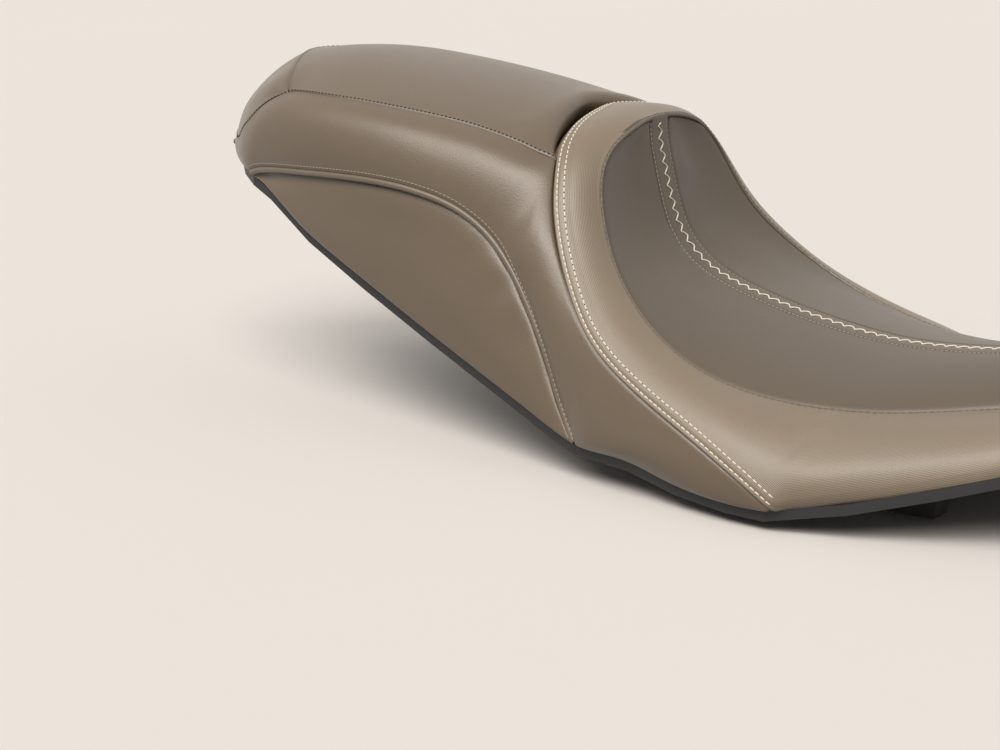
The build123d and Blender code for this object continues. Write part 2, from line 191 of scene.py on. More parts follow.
INSERT_SEAM = Seam([
    (370.3, 0, 50.5), (371.5, -16, 49.8), (372.8, -30, 47.6), (373.2, -48, 42.3),
    (372.3, -63, 33.8), (374, -76, 21), (379.3, -85.5, 3.5), (388.5, -93.5, -16.6),
    (400.5, -101.5, -34.1), (416.6, -110, -50.4), (436.7, -117.5, -66.2),
    (462.7, -123, -81.5), (489.4, -124.5, -92.4), (520.3, -121.5, -99.6),
    (552, -114.5, -103), (588, -104, -103.8), (621, -91, -101.8), (660, -77, -97),
    (699, -66.5, -91.5), (733, -57, -87.7), (757, -44, -86), (769, -29, -85.5),
    (775, -13, -85.2), (776.5, 0, -85.2)])
HEM = Seam([
    HEM_REAR, (23.5, -22, 3), (31, -42, 2), (45, -64, 0.5), (60, -79.5, -1.5),
    (72, -89.5, -3), WELT_START, (111.5, -103, -19.2), (138.5, -109, -36),
    (182.7, -116, -57.3), (255.2, -126, -89.5), (311.7, -133, -114.1),
    (353.8, -139, -131.8), (385.7, -144, -144.6), (403, -147, -147.9),
    (430, -151, -148.3), (452.3, -155.5, -150.6), (474.6, -160, -155),
    (497, -163.7, -157.8), (520, -166.5, -159.4), (540, -168.4, -159.9),
    HEM_SIDE, (575, -165.3, -155.2), (597.6, -159.3, -149.5),
    (629.8, -150, -140.9), (660.9, -139.8, -131.8), (686.2, -130.5, -124.2),
    (715, -117.5, -116), (745, -99.5, -109), (770, -78, -104.8), (786, -53, -102.5),
    (794, -26, -101.5), HEM_NOSE])
PIPED_SEAM = Seam([
    WELT_START, (91.6, -99, -0.5), (143.4, -113, 4.8), (195.6, -121.5, 6.9),
    (241.2, -124.8, 5.2), (274.8, -125, -0.8), (295.1, -124.7, -8.4),
    (315.9, -125, -21.9), (333.4, -127, -40.5), (347.2, -129.7, -59.5),
    (360, -133, -80.3), (370.1, -136, -98.8), (378.5, -138.8, -116.3),
    (387.6, -142, -132.3), (397, -145.7, -146.8)])
CROSS_SEAM = Seam([
    (68, 0, 77.5), (71, -13, 77.4), (77, -26, 76.9), (84, -39, 75.8), (92.5, -54, 73.5),
    (102, -70, 69.6), (111, -84, 63.6), CROSS_CORNER])
STRIP_HALF = 11.5
STRIP_SEAM = Seam([(x, -STRIP_HALF, z) for x, z in (
    (370.8, 50.1), (370, 44), (370.6, 36), (372.5, 26), (375.7, 12.5), (379.3, -1.2),
    (383.2, -13.5), (388, -24.6), (400.1, -40.2), (420.1, -53.6), (451.6, -64.6),
    (482.4, -72.4), (519.9, -79.2), (556.5, -83), (592, -82.6), (626.4, -79.6),
    (680, -73.8), (720, -71), (748, -72.8), (766, -78), (775.6, -85.2))])

# Where each rib starts on a panel's first seam and ends on its second, and how far the
# foam stands out of the straight line between them at each of RIB_SHARES of the way.
SIDE_STATIONS = [
    (TAIL_END, HEM_REAR, 1, 1.5, 1),
    ((17, -20, 17), (23.5, -22, 3), 1, 1.5, 1),
    ((23, -38, 17), (31, -42, 2), 1.5, 2, 1.5),
    ((36.8, -57.5, 16), (43, -62, 0.9), 1.5, 1.8, 1.3),
    ((51.5, -73.6, 16.5), (57, -77, -1), 1.4, 1.8, 1.2),
    ((62.8, -84.7, 19.7), (68, -86.5, -2.3), 1.1, 1.8, 1.2),
    ((70.4, -88.9, 27.8), (78, -93.5, -3.3), 1.8, 2.6, 1.7),
    ((81.6, -93.8, 36), (88, -98, -2), 3, 4.2, 2.8),
    ((94, -93.6, 46.6), (100, -101, 1), 5.8, 7.3, 4.5),
    (CROSS_CORNER, (122, -107, 3.5), 9, 11, 7),
    ((151, -99, 59), (153, -115, 5.3), 9, 11, 7),
    ((196.7, -100, 57), (198, -121.5, 6.9), 9, 11, 7),
    ((238, -98, 53), (238, -124.7, 5.5), 9, 11, 7),
    ((277.5, -94, 47.7), (272, -125, 0), 9, 11, 7),
    ((309.7, -93.4, 41), (294, -124.7, -8), 9, 11, 7),
    ((331, -91.1, 33.8), (310, -124.8, -17.5), 8.5, 10.5, 7),
    (HUMP_CORNER, (322, -125.6, -28), 7.5, 9.5, 6.5),
    ((354, -107, 5.2), (334, -127, -41), 6, 8, 6),
    ((364.5, -119, -18.6), (347, -129.6, -59), 5, 6.5, 5),
    ((376.5, -128, -39.3), (357.5, -132.3, -76), 4, 5.5, 4.5),
    ((391.5, -137.5, -58.8), (368, -135.3, -95), 3.5, 5.5, 4.5),
    ((409.7, -146.5, -76.6), (379, -139, -117.5), 3, 5.5, 4.5),
    ((433.3, -154, -92), (388.5, -142.3, -134), 3, 6, 5),
    ((463.2, -161, -107), (398, -146, -147.5), 3, 6.5, 5.5),
    ((497.3, -168, -122.4), (442, -153.3, -149.4), 3, 6, 5),
    ((528, -172, -138.5), (492, -163, -157.5), 2, 3.5, 3),
    ((545, -171.5, -149.5), (526, -167, -159.6), 1, 1.8, 1.5),
    ((555.5, -169.7, -157), (551, -168.5, -159.3), 0.2, 0.3, 0.2)]
SKIRT_STATIONS = [
    ((84, -96.7, -3.6), (84.5, -96.7, -5.8), 0, 0, 0),
    ((91.6, -99, -0.5), (94, -99, -10), -0.5, -0.5, 0),
    ((118, -106.5, 2.8), (114, -103.6, -20.7), -1, 0, 1),
    ((143, -113, 4.8), (141, -109.5, -37.4), -1, 0, 1),
    ((195.6, -121.5, 6.9), (196, -117.9, -63.3), -1, 0.5, 1.5),
    ((241, -124.8, 5.2), (249, -125.2, -86.8), -1, 1, 2),
    ((275, -125, -0.8), (289, -130.3, -104.3), -1, 1.5, 2.5),
    ((295, -124.7, -8.4), (314, -133.3, -115.1), -1, 1.5, 2.5),
    ((316, -125, -21.9), (333, -136, -123.2), -1, 1.5, 2.5),
    ((333.4, -127, -40.5), (349, -138.3, -129.8), -1, 1.5, 2),
    ((347, -129.7, -59.5), (362, -140.3, -135.3), -0.5, 1.5, 2),
    ((360, -133, -80.3), (373, -142, -139.8), -0.5, 1, 1.5),
    ((370, -136, -98.8), (381, -143.2, -143), -0.5, 1, 1),
    ((378.5, -138.8, -116.3), (388, -144.4, -145.2), 0, 0.5, 0.5),
    ((388, -142.2, -132.8), (393.5, -145.4, -146.6), 0, 0.2, 0.2),
    ((395.6, -145.2, -144.8), (396.6, -145.9, -147.2), 0, 0, 0)]
BOLSTER_STATIONS = [
    (HUMP_TOP, (370.3, 0, 50.5), 3, 4.2, 2.6),
    ((328.6, -18, 52.4), (371.7, -17, 49.7), 3, 4.2, 2.6),
    ((331.7, -38, 49.5), (373, -34, 47), 3.3, 4.6, 2.8),
    ((334.7, -56, 44.9), (373.2, -50, 41.6), 3.8, 5, 3),
    ((339.2, -74, 38.4), (372.4, -63, 33.8), 4, 5.2, 3),
    ((345.5, -92, 26.5), (374, -76, 21), 4, 5.2, 3),
    ((353.9, -107, 5.2), (379.3, -85.5, 3.5), 4, 5.2, 3),
    ((364.5, -119, -18.6), (388.5, -93.5, -16.6), 4, 5.3, 3.2),
    ((376.5, -128, -39.3), (400.5, -101.5, -34.1), 4.5, 6, 3.7),
    ((391.5, -137.5, -58.8), (416.6, -110, -50.4), 5, 6.5, 4),
    ((409.7, -146.5, -76.6), (436.7, -117.5, -66.2), 5.5, 7, 4),
    ((433.3, -154, -92), (462.7, -123, -81.5), 6, 7.5, 4.5),
    ((463.2, -161, -107), (489.4, -124.5, -92.4), 7, 8, 5),
    ((497.3, -168, -122.4), (517, -122, -99), 8, 9, 5),
    ((528, -172, -138.5), (541, -117.5, -102.2), 10, 10, 5.5),
    ((557, -169, -158.4), (563, -111.5, -103.5), 13, 12, 6),
    ((575, -165.3, -155.2), (583, -105.6, -103.9), 14, 13, 6.5),
    ((597.6, -159.3, -149.5), (604, -98, -103), 13, 13, 7),
    ((629.8, -150, -140.9), (634, -86, -100.4), 12, 12, 7),
    ((660.9, -139.8, -131.8), (662, -76.3, -96.7), 10.5, 11, 6.5),
    ((700, -124.5, -120), (699, -66.5, -91.5), 9.5, 10, 6),
    ((738, -104, -110.4), (733, -57, -87.7), 9, 9, 5.5),
    ((769, -79, -105), (757, -44, -86), 9, 8.5, 5),
    ((786, -53, -102.5), (769, -29, -85.5), 9, 8.5, 5),
    ((794, -26, -101.5), (775, -13, -85.2), 8.5, 8, 4.5),
    (HEM_NOSE, (776.5, 0, -85.2), 8.5, 8, 4.5)]
INSERT_STATIONS = [((x, -STRIP_HALF, z), *rest) for (x, z), *rest in (
    ((370.8, 50.1), (371.3, -13.3, 49.9), 0, 0, 0),
    ((370, 45), (372.5, -27, 48.2), -0.5, -1, -0.5),
    ((370.5, 37), (373.2, -42, 44.6), -1, -2, -1.5),
    ((372, 28), (372.9, -56, 38.3), -1.5, -3, -2),
    ((375, 16), (372.6, -68, 30), -1.5, -3, -2),
    ((378, 4), (375.5, -80, 14), -1.5, -3, -2),
    ((382, -10), (380.3, -86.7, 1), -1.5, -3, -2),
    ((388, -24.6), (388.5, -93.5, -16.6), -1, -2.5, -2),
    ((397, -37), (400.5, -101.5, -34.1), -0.5, -1.5, -1.5),
    ((414, -50), (416.6, -110, -50.4), 0, 0, -0.5),
    ((436, -60), (436.7, -117.5, -66.2), 1, 1.5, 0.5),
    ((463, -67.8), (462.7, -123, -81.5), 2, 3, 2),
    ((490, -74), (489.4, -124.5, -92.4), 2.5, 4, 3),
    ((520, -79.2), (520, -121.5, -99.5), 3, 4.5, 3.5),
    ((556, -83), (555, -113.8, -103.2), 3, 4.5, 3.5),
    ((590, -82.7), (588, -104, -103.8), 3, 4.5, 3.5),
    ((625, -79.8), (621, -91, -101.8), 3, 4.5, 3.5),
    ((660, -76), (658, -77.6, -97.3), 3, 4.5, 3.5),
    ((700, -72.1), (698, -66.8, -91.6), 3, 4.5, 3.5),
    ((733, -71.4), (731, -57.7, -87.9), 2.5, 4, 3),
    ((754, -74.2), (755, -45.5, -86.1), 1.5, 2.5, 2),
    ((766, -78), (766.5, -33, -85.6), 1, 1.5, 1),
    ((773, -83), (772.8, -20, -85.3), 0.2, 0.3, 0.2),
    ((775.2, -84.8), (775.1, -12.6, -85.1), 0, 0, 0))]
TAIL_STATIONS = [
    ((68, 0, 77.5), TAIL_END, 7, 11, 8),
    ((71, -13, 77.4), (16, -14, 17), 6.5, 10.5, 8),
    ((77, -26, 76.9), (19, -29, 17), 6, 9.5, 7.5),
    ((84, -39, 75.8), (26, -43, 16.8), 5.5, 8.6, 7),
    ((92, -53, 73.7), (36.8, -57.5, 16), 5.5, 8.4, 6.2),
    ((98, -63, 71.4), (51.5, -73.6, 16.5), 6.3, 8.9, 5.7),
    ((104, -73, 68.5), (64, -85.4, 21), 6.2, 6.6, 4.9),
    ((109, -81, 65.2), (75.5, -91.6, 31.4), 4.2, 3.6, 2.6),
    ((114, -88, 61.4), (93, -93.8, 46), 1.6, 1.2, 0.9),
    ((117.6, -92.5, 58.3), (117.3, -92.9, 57.9), 0, 0, 0)]
# The passenger pad's ribs: where they meet the side seam, and X and Z at the middle.
PAD_STATIONS = [
    (CROSS_CORNER, 68, 77.5), ((134, -96.2, 58.8), 97, 81.2),
    ((151.4, -99, 59.2), 125, 82.3), ((174, -100, 58.3), 156, 80.6),
    ((196.7, -100, 57.1), 188, 77.4), ((238.3, -98, 53.2), 228, 71.8),
    ((277.5, -94.5, 47.7), 262, 66), ((304, -93.6, 42.2), 287, 62),
    ((320, -92.8, 37.8), 300, 61), ((332, -90.8, 33.4), 309, 59.3),
    ((336.5, -89.5, 32), 312.5, 55.5), ((339.5, -88.8, 31), 311, 49),
    ((341.8, -88.3, 30.3), 304, 41), (HUMP_CORNER, 299, 32)]
RIB_SHARES = (0.22, 0.5, 0.78)
PAD_SHARES = (0.76, 0.5, 0.25, 0.0)


def ribs_between(first, second, stations):
    """Ribs from one seam to another, each pushed out of its straight line by the foam."""
    ribs = []
    for start, end, *swell in stations:
        s, e = first.near(start), second.near(end)
        a, b = first.at(s), second.at(e)
        run = (first.at(s + 2) - first.at(s - 2)) + (second.at(e + 2) - second.at(e - 2))
        out = np.cross(run, b - a)
        out /= max(np.linalg.norm(out), 1e-6)
        inside = (a[0] - 25, 0, a[2] - 60)
        if out @ ((a + b) / 2 - inside) < 0:
            out = -out
        ribs.append([a] + [a + (b - a) * f + out * h for f, h in zip(RIB_SHARES, swell)]
                    + [b])
    return ribs


def pad_ribs():
    """Crowned ribs from the right seam of the passenger pad over to the left one."""
    ribs = []
    for (x, y, z), middle_x, middle_z in PAD_STATIONS:
        half = [(x, y, z)]
        for share in PAD_SHARES:
            half.append((middle_x + (x - middle_x) * share ** 1.3, y * share,
                         middle_z - (middle_z - z) * share ** 2.3))
        ribs.append(half + [(px, -py, pz) for px, py, pz in half[-2::-1]])
    return ribs


def smooth_step(x):
    x = np.clip(x, 0.0, 1.0)
    return x * x * (3 - 2 * x)


# How an edge is made: each gives the height over the foam at a distance from the seam
def rolled(radius, width=None):
    """An edge that rolls down through a quarter round, as a folded hem does."""
    width = width or radius

    def height(d):
        d = np.clip(d, 0, width) / width
        return radius * (np.sqrt(np.maximum(1 - (1 - d) ** 2, 0)) - 1)
    return height


def lapped(lip, rows, edge=1.6, fade=3.0):
    """A folded edge that stands proud over its neighbour, pulled down by rows of stitches."""
    def height(d):
        proud = lip * (1 - smooth_step((d - rows[-1]) / fade))
        dents = sum(-0.45 * np.exp(-((d - r) / 0.8) ** 2) for r in rows)
        return rolled(edge)(d) + proud + dents
    return height


def sunk(depth, width):
    """An edge that dips below its neighbour's fold."""
    def height(d):
        return -depth * np.exp(-(d / width) ** 1.4)
    return height


def flush(depth, width):
    """A plain sewn edge: a narrow valley."""
    def height(d):
        return -depth * np.exp(-(d / width) ** 2)
    return height


def ridged(depth, width, ridge):
    """A flush sewn edge: a narrow valley with a low ridge beside it."""
    def height(d):
        return flush(depth, width)(d) + ridge * np.exp(-((d - 2.2) / 1.1) ** 2)
    return height


EDGE_STEPS = np.array([0, 0.25, 0.55, 0.95, 1.4, 1.9, 2.5, 3.2, 4.0, 5.0, 6.2, 7.6, 9.2])
EDGE_ROOM = 2.6         # where fewer edges than this fit across, their steps shrink
RIB_GAP, ROW_GAP = 2.6, 3.2                    # of the finished net, along and across
FILL_GAP = 5.5                                 # of the net that is filled
PADDED, EDGE_DEPTH = 6.0, 2.2                  # from the outer to the inner face
DEPTH_REACH = 14.0      # the full depth is reached this far from a seam
END_REACH = 14.0        # a panel's end is drawn to its seam over this length
SHADE_REACH = 2.2       # how far a seam's painted dark line of shade and some dirt spreads
FULL_WIDTH = 14.0       # edges are lower where a panel is narrower than this
SLIVER = 8.0            # ribs shorter than this take their neighbour's normals
EVEN_REACH, EVEN_SPREAD = 30, 12.0             # ribs averaged to each side, how widely


def edge_steps(length):
    """Places beside a seam, closer together where the panel is too narrow for them."""
    return EDGE_STEPS * min(1.0, length / (EDGE_ROOM * EDGE_STEPS[-1]))


def spread(length, gap, dense_start=True, dense_end=True):
    """Places along a line: close together at its sewn ends, gap apart between."""
    first = edge_steps(length) if dense_start else np.array([0.0])
    last = length - edge_steps(length)[::-1] if dense_end else np.array([length])
    count = max(int(round((last[0] - first[-1]) / gap)), 2)
    return np.concatenate([first, np.linspace(first[-1], last[0], count + 1)[1:-1], last])


class Panel:
    """One sewn panel: a net of ribs, its two long seams, and how its edges are made.
    ends says how its short edges are made and end_seams which lines they follow; ease says
    where the net is evened out, and shape adds to the edges' height."""

    def __init__(self, name, ribs, first, second, edges, closed=False, ends=(None, None),
                 end_seams=(None, None), thick=PADDED, ease=None, shape=None):
        self.name, self.closed, self.edges, self.ends = name, closed, edges, ends
        self.end_seams, self.thick, self.ease, self.shape = end_seams, thick, ease, shape
        net = np.array(ribs, float)
        first_s = np.array([first.near(p) for p in net[:, 0]])
        second_s = np.array([second.near(p) for p in net[:, -1]])
        if closed:
            first_s[-1], second_s[-1] = first.run[-1], second.run[-1]
        net[:, 0], net[:, -1] = first.at(first_s), second.at(second_s)
        hops = np.linalg.norm(np.diff(net, axis=0), axis=2).mean(1)
        self.u_knots = np.concatenate([[0.0], np.cumsum(hops)])
        widths = np.linalg.norm(np.diff(net, axis=1), axis=2)
        share = (widths / np.maximum(widths.sum(1, keepdims=True), 1e-6))
        wide = widths.sum(1) > 0.4 * widths.sum(1).max()
        self.v_knots = np.concatenate([[0.0], np.cumsum(share[wide].mean(0))])
        self.v_knots /= self.v_knots[-1]
        self.net, self.first, self.second = net, first, second
        self.first_s, self.second_s = first_s, second_s
        self.push = None

    def along(self, values, u):
        """Splines values given at the ribs along the panel, round and round if it is closed."""
        if not self.closed:
            return np.tensordot(spline_weights(self.u_knots, u), values, 1)
        turn = self.u_knots[-1]
        knots = np.concatenate([self.u_knots[-5:-1] - turn, self.u_knots,
                                self.u_knots[1:5] + turn])
        jump = values[-1] - values[0]
        rows = np.concatenate([values[-5:-1] - jump, values, values[1:5] + jump])
        return np.tensordot(spline_weights(knots, u), rows, 1)

    def surface(self, u, v):
        columns = self.along(self.net, u)
        for k, seam, places in ((0, self.first, self.first_s), (-1, self.second, self.second_s)):
            columns[:, k] = seam.at(np.clip(self.along(places, u), 0, seam.run[-1]))
        grid = np.einsum("vc,uck->uvk", spline_weights(self.v_knots, v), columns)
        for seam, near_end in zip(self.end_seams, (0, -1)):
            if seam is not None:
                run = lengths(grid[near_end])
                off = seam.at(run / run[-1] * seam.run[-1]) - grid[near_end]
                fade = np.exp(-(np.abs(u - u[near_end]) / END_REACH) ** 2)
                grid = grid + fade[:, None, None] * off[None]
        return grid

    def even_u(self, gap, dense_ends=False):
        """Places along the panel that lie a gap apart on its middle line."""
        fine = np.linspace(0, self.u_knots[-1], 1200)
        run = lengths(self.surface(fine, np.linspace(0, 1, 21))[:, 10])
        if dense_ends:
            want = spread(run[-1], gap, self.ends[0] is not None, self.ends[1] is not None)
        else:
            want = np.linspace(0, run[-1], max(int(run[-1] / gap), 3) + 1)
        return np.interp(want, run, fine)

    def coarse(self):
        """The net that is filled."""
        self.coarse_u = self.even_u(FILL_GAP)
        width = lengths(self.surface(np.array([self.u_knots[-1] / 2]),
                                     np.linspace(0, 1, 60))[0])[-1]
        self.coarse_v = np.linspace(0, 1, max(int(width / FILL_GAP), 6) + 1)
        return self.surface(self.coarse_u, self.coarse_v)

    def dense(self):
        """The padded surface before its edges are made, fine along and across."""
        u = self.even_u(RIB_GAP, dense_ends=True)
        v = np.linspace(0, 1, 121)
        grid = self.surface(u, v)
        if self.ease is not None:
            grid = self.evened(grid, v)
        if self.push is not None:
            lift = np.tensordot(spline_weights(self.coarse_u, u), self.push, 1)
            grid = grid + np.einsum("vc,uck->uvk", spline_weights(self.coarse_v, v), lift)
        return grid

    def evened(self, grid, v):
        """The closed net evened out along the panel, away from its seams, where ease asks
        for it."""
        share = np.exp(-(np.arange(-EVEN_REACH, EVEN_REACH + 1) / EVEN_SPREAD) ** 2)
        ring = np.concatenate([grid[-EVEN_REACH - 1:-1], grid, grid[1:EVEN_REACH + 1]])
        smooth = sum(k * ring[i:i + len(grid)] for i, k in enumerate(share / share.sum()))
        inside = (smooth_step(v / 0.35) * smooth_step((1 - v) / 0.2))[None, :, None]
        middle_x = grid[:, len(v) // 2, 0]
        return grid + self.ease(middle_x)[:, None, None] * inside * (smooth - grid)

    def build(self):
        """Lays the rows, raises and lowers the edges, and makes the piece."""
        grid = self.dense()
        across = np.stack([lengths(rib) for rib in grid])
        widths = across[:, -1]
        typical = np.median(widths)
        steps = spread(typical, ROW_GAP)
        edge = len(EDGE_STEPS)
        places = np.empty((len(grid), len(steps)))
        points = np.empty((len(grid), len(steps), 3))
        for i, width in enumerate(widths):
            near = edge_steps(width)
            scale = (width - 2 * near[-1]) / (typical - 2 * steps[edge - 1])
            places[i, :edge] = near
            places[i, edge:-edge] = near[-1] + (steps[edge:-edge] - steps[edge - 1]) * scale
            places[i, -edge:] = width - near[::-1]
            for k in range(3):
                points[i, :, k] = np.interp(places[i], across[i], grid[i, :, k])
        normals, self.turned = grid_normals(points, self.closed)
        wide = np.nonzero(widths > SLIVER)[0]
        nearest = np.argmin(np.abs(np.arange(len(grid))[:, None] - wide), axis=1)
        from_second = across[:, -1:] - places
        run = lengths(points[:, len(steps) // 2])
        away = (places, from_second, run[:, None], (run[-1] - run)[:, None])
        # Painted shade, with some dirt: each seam and sewn end gets a dark line in the colour,
        # strongest at the seam and fading over SHADE_REACH.
        height, shade = np.zeros_like(places), np.zeros_like(places)
        for profile, distance in zip(self.edges + self.ends, away):
            if profile is not None:
                height += profile(distance)
                shade += np.exp(-distance / SHADE_REACH)
        if self.shape is not None:
            height += self.shape(points[:, 0, 0], places)
        height *= np.clip(across[:, -1:] / FULL_WIDTH, 0.0, 1.0)
        self.points, self.normals, self.places = points, normals[wide[nearest]], places
        self.run, self.from_second, self.height = run, from_second, height
        self.outer = points + self.normals * height[..., None]
        return self.solid(np.clip(shade, 0, 1))

    def row(self, distance, second=False, lift=0.0):
        """The line at a distance from a seam, on the finished surface, with its normals."""
        where = self.from_second if second else self.places
        line, up = [], []
        for i in range(len(self.outer)):
            order = np.argsort(where[i])
            pick = lambda a: np.array([np.interp(distance, where[i][order], a[i][order, k])
                                       for k in range(3)])
            normal = pick(self.normals)
            normal /= max(np.linalg.norm(normal), 1e-9)
            line.append(pick(self.outer) + normal * lift)
            up.append(normal)
        return np.array(line), np.array(up)

    def depth(self):
        """How far the inner face lies under the foam's: little at the seams, and always
        under the outer face."""
        away = np.minimum(self.places, self.from_second)
        if not self.closed:
            away = np.minimum(away, np.minimum(self.run, self.run[-1] - self.run)[:, None])
        depth = EDGE_DEPTH + (self.thick - EDGE_DEPTH) * smooth_step(away / DEPTH_REACH)
        return np.maximum(depth, EDGE_DEPTH - self.height)

    def solid(self, shade):
        """The outer face, an inner face, and the walls between, as one closed mesh."""
        nu, nv = self.outer.shape[:2]
        inner = self.points - self.normals * self.depth()[..., None]
        verts = np.concatenate([self.outer.reshape(-1, 3), inner.reshape(-1, 3)]) * MM
        top, under = np.arange(2 * nu * nv).reshape(2, nu, nv)
        if self.closed:
            top, under = (np.concatenate([net, net[:1]]) for net in (top, under))
        faces = quads(top) + quads(under.T)
        faces += quads(np.stack([top[:, 0], under[:, 0]]))
        faces += quads(np.stack([top[:, -1], under[:, -1]], -1))
        if not self.closed:
            faces += quads(np.stack([top[0], under[0]], -1))
            faces += quads(np.stack([top[-1], under[-1]]))
        if self.turned:
            faces = [face[::-1] for face in faces]
        uv = np.stack([np.broadcast_to(self.run[:, None], (nu, nv)), self.places], -1)
        uv = np.concatenate([uv.reshape(-1, 2)] * 2) * MM
        # The inner face is marked fully dark, so the walls in the seams' gaps get painted shade.
        seamed = np.concatenate([shade.ravel(), np.ones(nu * nv)])
        return make_mesh(self.name, verts, faces, uv, seamed)


def grid_normals(points, closed):
    """Unit normals that point out of the seat, and whether the net runs the other way."""
    if closed:
        ahead = np.concatenate([points[-2:-1], points, points[1:2]])
        du = ahead[2:] - ahead[:-2]
    else:
        du = np.gradient(points, axis=0)
    normals = np.cross(du, np.gradient(points, axis=1))
    size = np.linalg.norm(normals, axis=2, keepdims=True)
    weak = size[..., 0] < 1e-4 * size.max()
    normals = normals / np.maximum(size, 1e-9)
    out = points - np.array([0, 0, points[..., 2].min() - 120])
    out[..., 0] = 0
    turned = (normals[~weak] * out[~weak]).sum() < 0
    if turned:
        normals = -normals
    for _ in range(3):
        for i, j in zip(*np.nonzero(weak)):
            around = (slice(max(i - 2, 0), i + 3), slice(max(j - 2, 0), j + 3))
            near = normals[around][~weak[around]]
            if len(near):
                mean = near.mean(0)
                normals[i, j] = mean / max(np.linalg.norm(mean), 1e-9)
                weak[i, j] = False
    return normals, turned


def quads(net):
    """The faces of a net of vertex numbers, all turned the same way."""
    corners = (net[:-1, :-1], net[1:, :-1], net[1:, 1:], net[:-1, 1:])
    return np.stack(corners, -1).reshape(-1, 4).tolist()


def make_mesh(name, verts, faces, uv=None, seamed=None):
    """A smooth piece, with its panel map and how far each point lies in a seam's painted shade and
    dirt.
    """
    mesh = bpy.data.meshes.new(name)
    mesh.from_pydata([tuple(v) for v in verts], [], faces)
    mesh.update()
    if uv is not None:
        layer = mesh.uv_layers.new(name="panel")
        corners = np.empty(len(mesh.loops), np.int32)
        mesh.loops.foreach_get("vertex_index", corners)
        layer.data.foreach_set("uv", uv[corners].astype(np.float32).ravel())
    if seamed is not None:
        mark = mesh.attributes.new("seamed", "FLOAT", "POINT")
        mark.data.foreach_set("value", seamed.astype(np.float32))
    mesh.polygons.foreach_set("use_smooth", [True] * len(mesh.polygons))
    piece = bpy.data.objects.new(name, mesh)
    scene.collection.objects.link(piece)
    return piece


# Filling the panels
FILL_FRAMES = 20
CLOTH = {"vertex_group_mass": "held", "use_pressure": True, "tension_stiffness": 12.0,
         "compression_stiffness": 12.0, "shear_stiffness": 4.0, "bending_stiffness": 0.6,
         "mass": 0.25, "air_damping": 6.0, "quality": 6}


def sheet_of(panel, grid, pressure):
    """A sheet of cloth over a panel's net, pinned at its rim and under pressure."""
    net = np.arange(grid[..., 0].size).reshape(grid.shape[:2])
    faces = quads(net)
    if grid_normals(grid, panel.closed)[1]:
        faces = [face[::-1] for face in faces]
    sheet = make_mesh(panel.name + "_fill", grid.reshape(-1, 3) * MM, faces)
    rim = np.concatenate([net[0], net[-1], net[:, 0], net[:, -1]])
    sheet.vertex_groups.new(name="held").add(rim.tolist(), 1.0, "REPLACE")
    settings = sheet.modifiers.new("fill", "CLOTH").settings
    for key, value in CLOTH.items():
        setattr(settings, key, value)
    settings.effector_weights.gravity = 0.0
    settings.uniform_pressure_force = pressure
    return sheet


def fill_panels(jobs):
    """Blows each panel out against its pinned seams with Blender's cloth, then reads how far
    each point moved. A job is (panel, pressure, cap in mm)."""
    sheets = []
    for panel, pressure, cap in jobs:
        grid = panel.coarse()
        sheets.append((panel, sheet_of(panel, grid, pressure), grid, cap))
    for number in range(1, FILL_FRAMES + 1):
        scene.frame_set(number)
    graph = bpy.context.evaluated_depsgraph_get()
    for panel, sheet, grid, cap in sheets:
        shown = sheet.evaluated_get(graph)
        moved = np.empty(len(shown.data.vertices) * 3, np.float32)
        shown.data.vertices.foreach_get("co", moved)
        push = moved.reshape(grid.shape) / MM - grid
        size = np.linalg.norm(push, axis=2, keepdims=True)
        panel.push = push * np.minimum(1.0, cap / np.maximum(size, 1e-6))
        print("filled", panel.name, "most %.1f mm" % size.max())
    for _, sheet, _, _ in sheets:
        mesh = sheet.data
        bpy.data.objects.remove(sheet)
        bpy.data.meshes.remove(mesh)
    scene.frame_set(1)


# The panels
CREAM_ROWS, INSERT_ROW = (3.2, 8.0), 2.0       # rows of stitches, from the seam
SEWN_EDGE, TUCKED_EDGE = lapped(1.0, CREAM_ROWS), sunk(1.1, 1.6)
TOP_EDGE = ridged(0.7, 0.7, 0.2)
FLAT_UNTIL, FLAT_FADE = 322.0, 16.0            # where the side panel's top edge is flush
ROLL_FROM, ROLL_FADE = 552.0, 14.0             # where the bolster's edge rolls under
EVEN_AT, EVEN_FADE = 590.0, 70.0               # where the bolster is evened out
PAN_FRONT = 755.0                              # where the pan ends under the nose


def under_hem(x, places):
    """Round the nose the bolster's outer edge isn't sewn down: it rolls under to the pan."""
    on_hem = smooth_step((x - ROLL_FROM) / ROLL_FADE)[:, None]
    return on_hem * (rolled(8.0, 22.0)(places) - SEWN_EDGE(places))


def flat_top(x, places):
    """Beside the passenger pad the side panel's edge is flush, not tucked under a fold."""
    on_top = 1 - smooth_step((x - FLAT_UNTIL) / FLAT_FADE)[:, None]
    return on_top * (ridged(0.5, 0.6, 0.15)(places) - TUCKED_EDGE(places))


def beside_leg_foot(x):
    """The bolster is evened out where its leg runs into the nose."""
    return np.exp(-((x - EVEN_AT) / EVEN_FADE) ** 2)


def web(name, first, second, sag=0.0, ribs=25):
    """A plain thin panel straight across from one line to another."""
    lines = zip(first.places(ribs), second.places(ribs))
    return Panel(name, [[a, (a + b) / 2 - (sag, 0, 0), b] for a, b in lines], first, second,
                 edges=(flush(0.3, 1.0),) * 2, thick=EDGE_DEPTH)


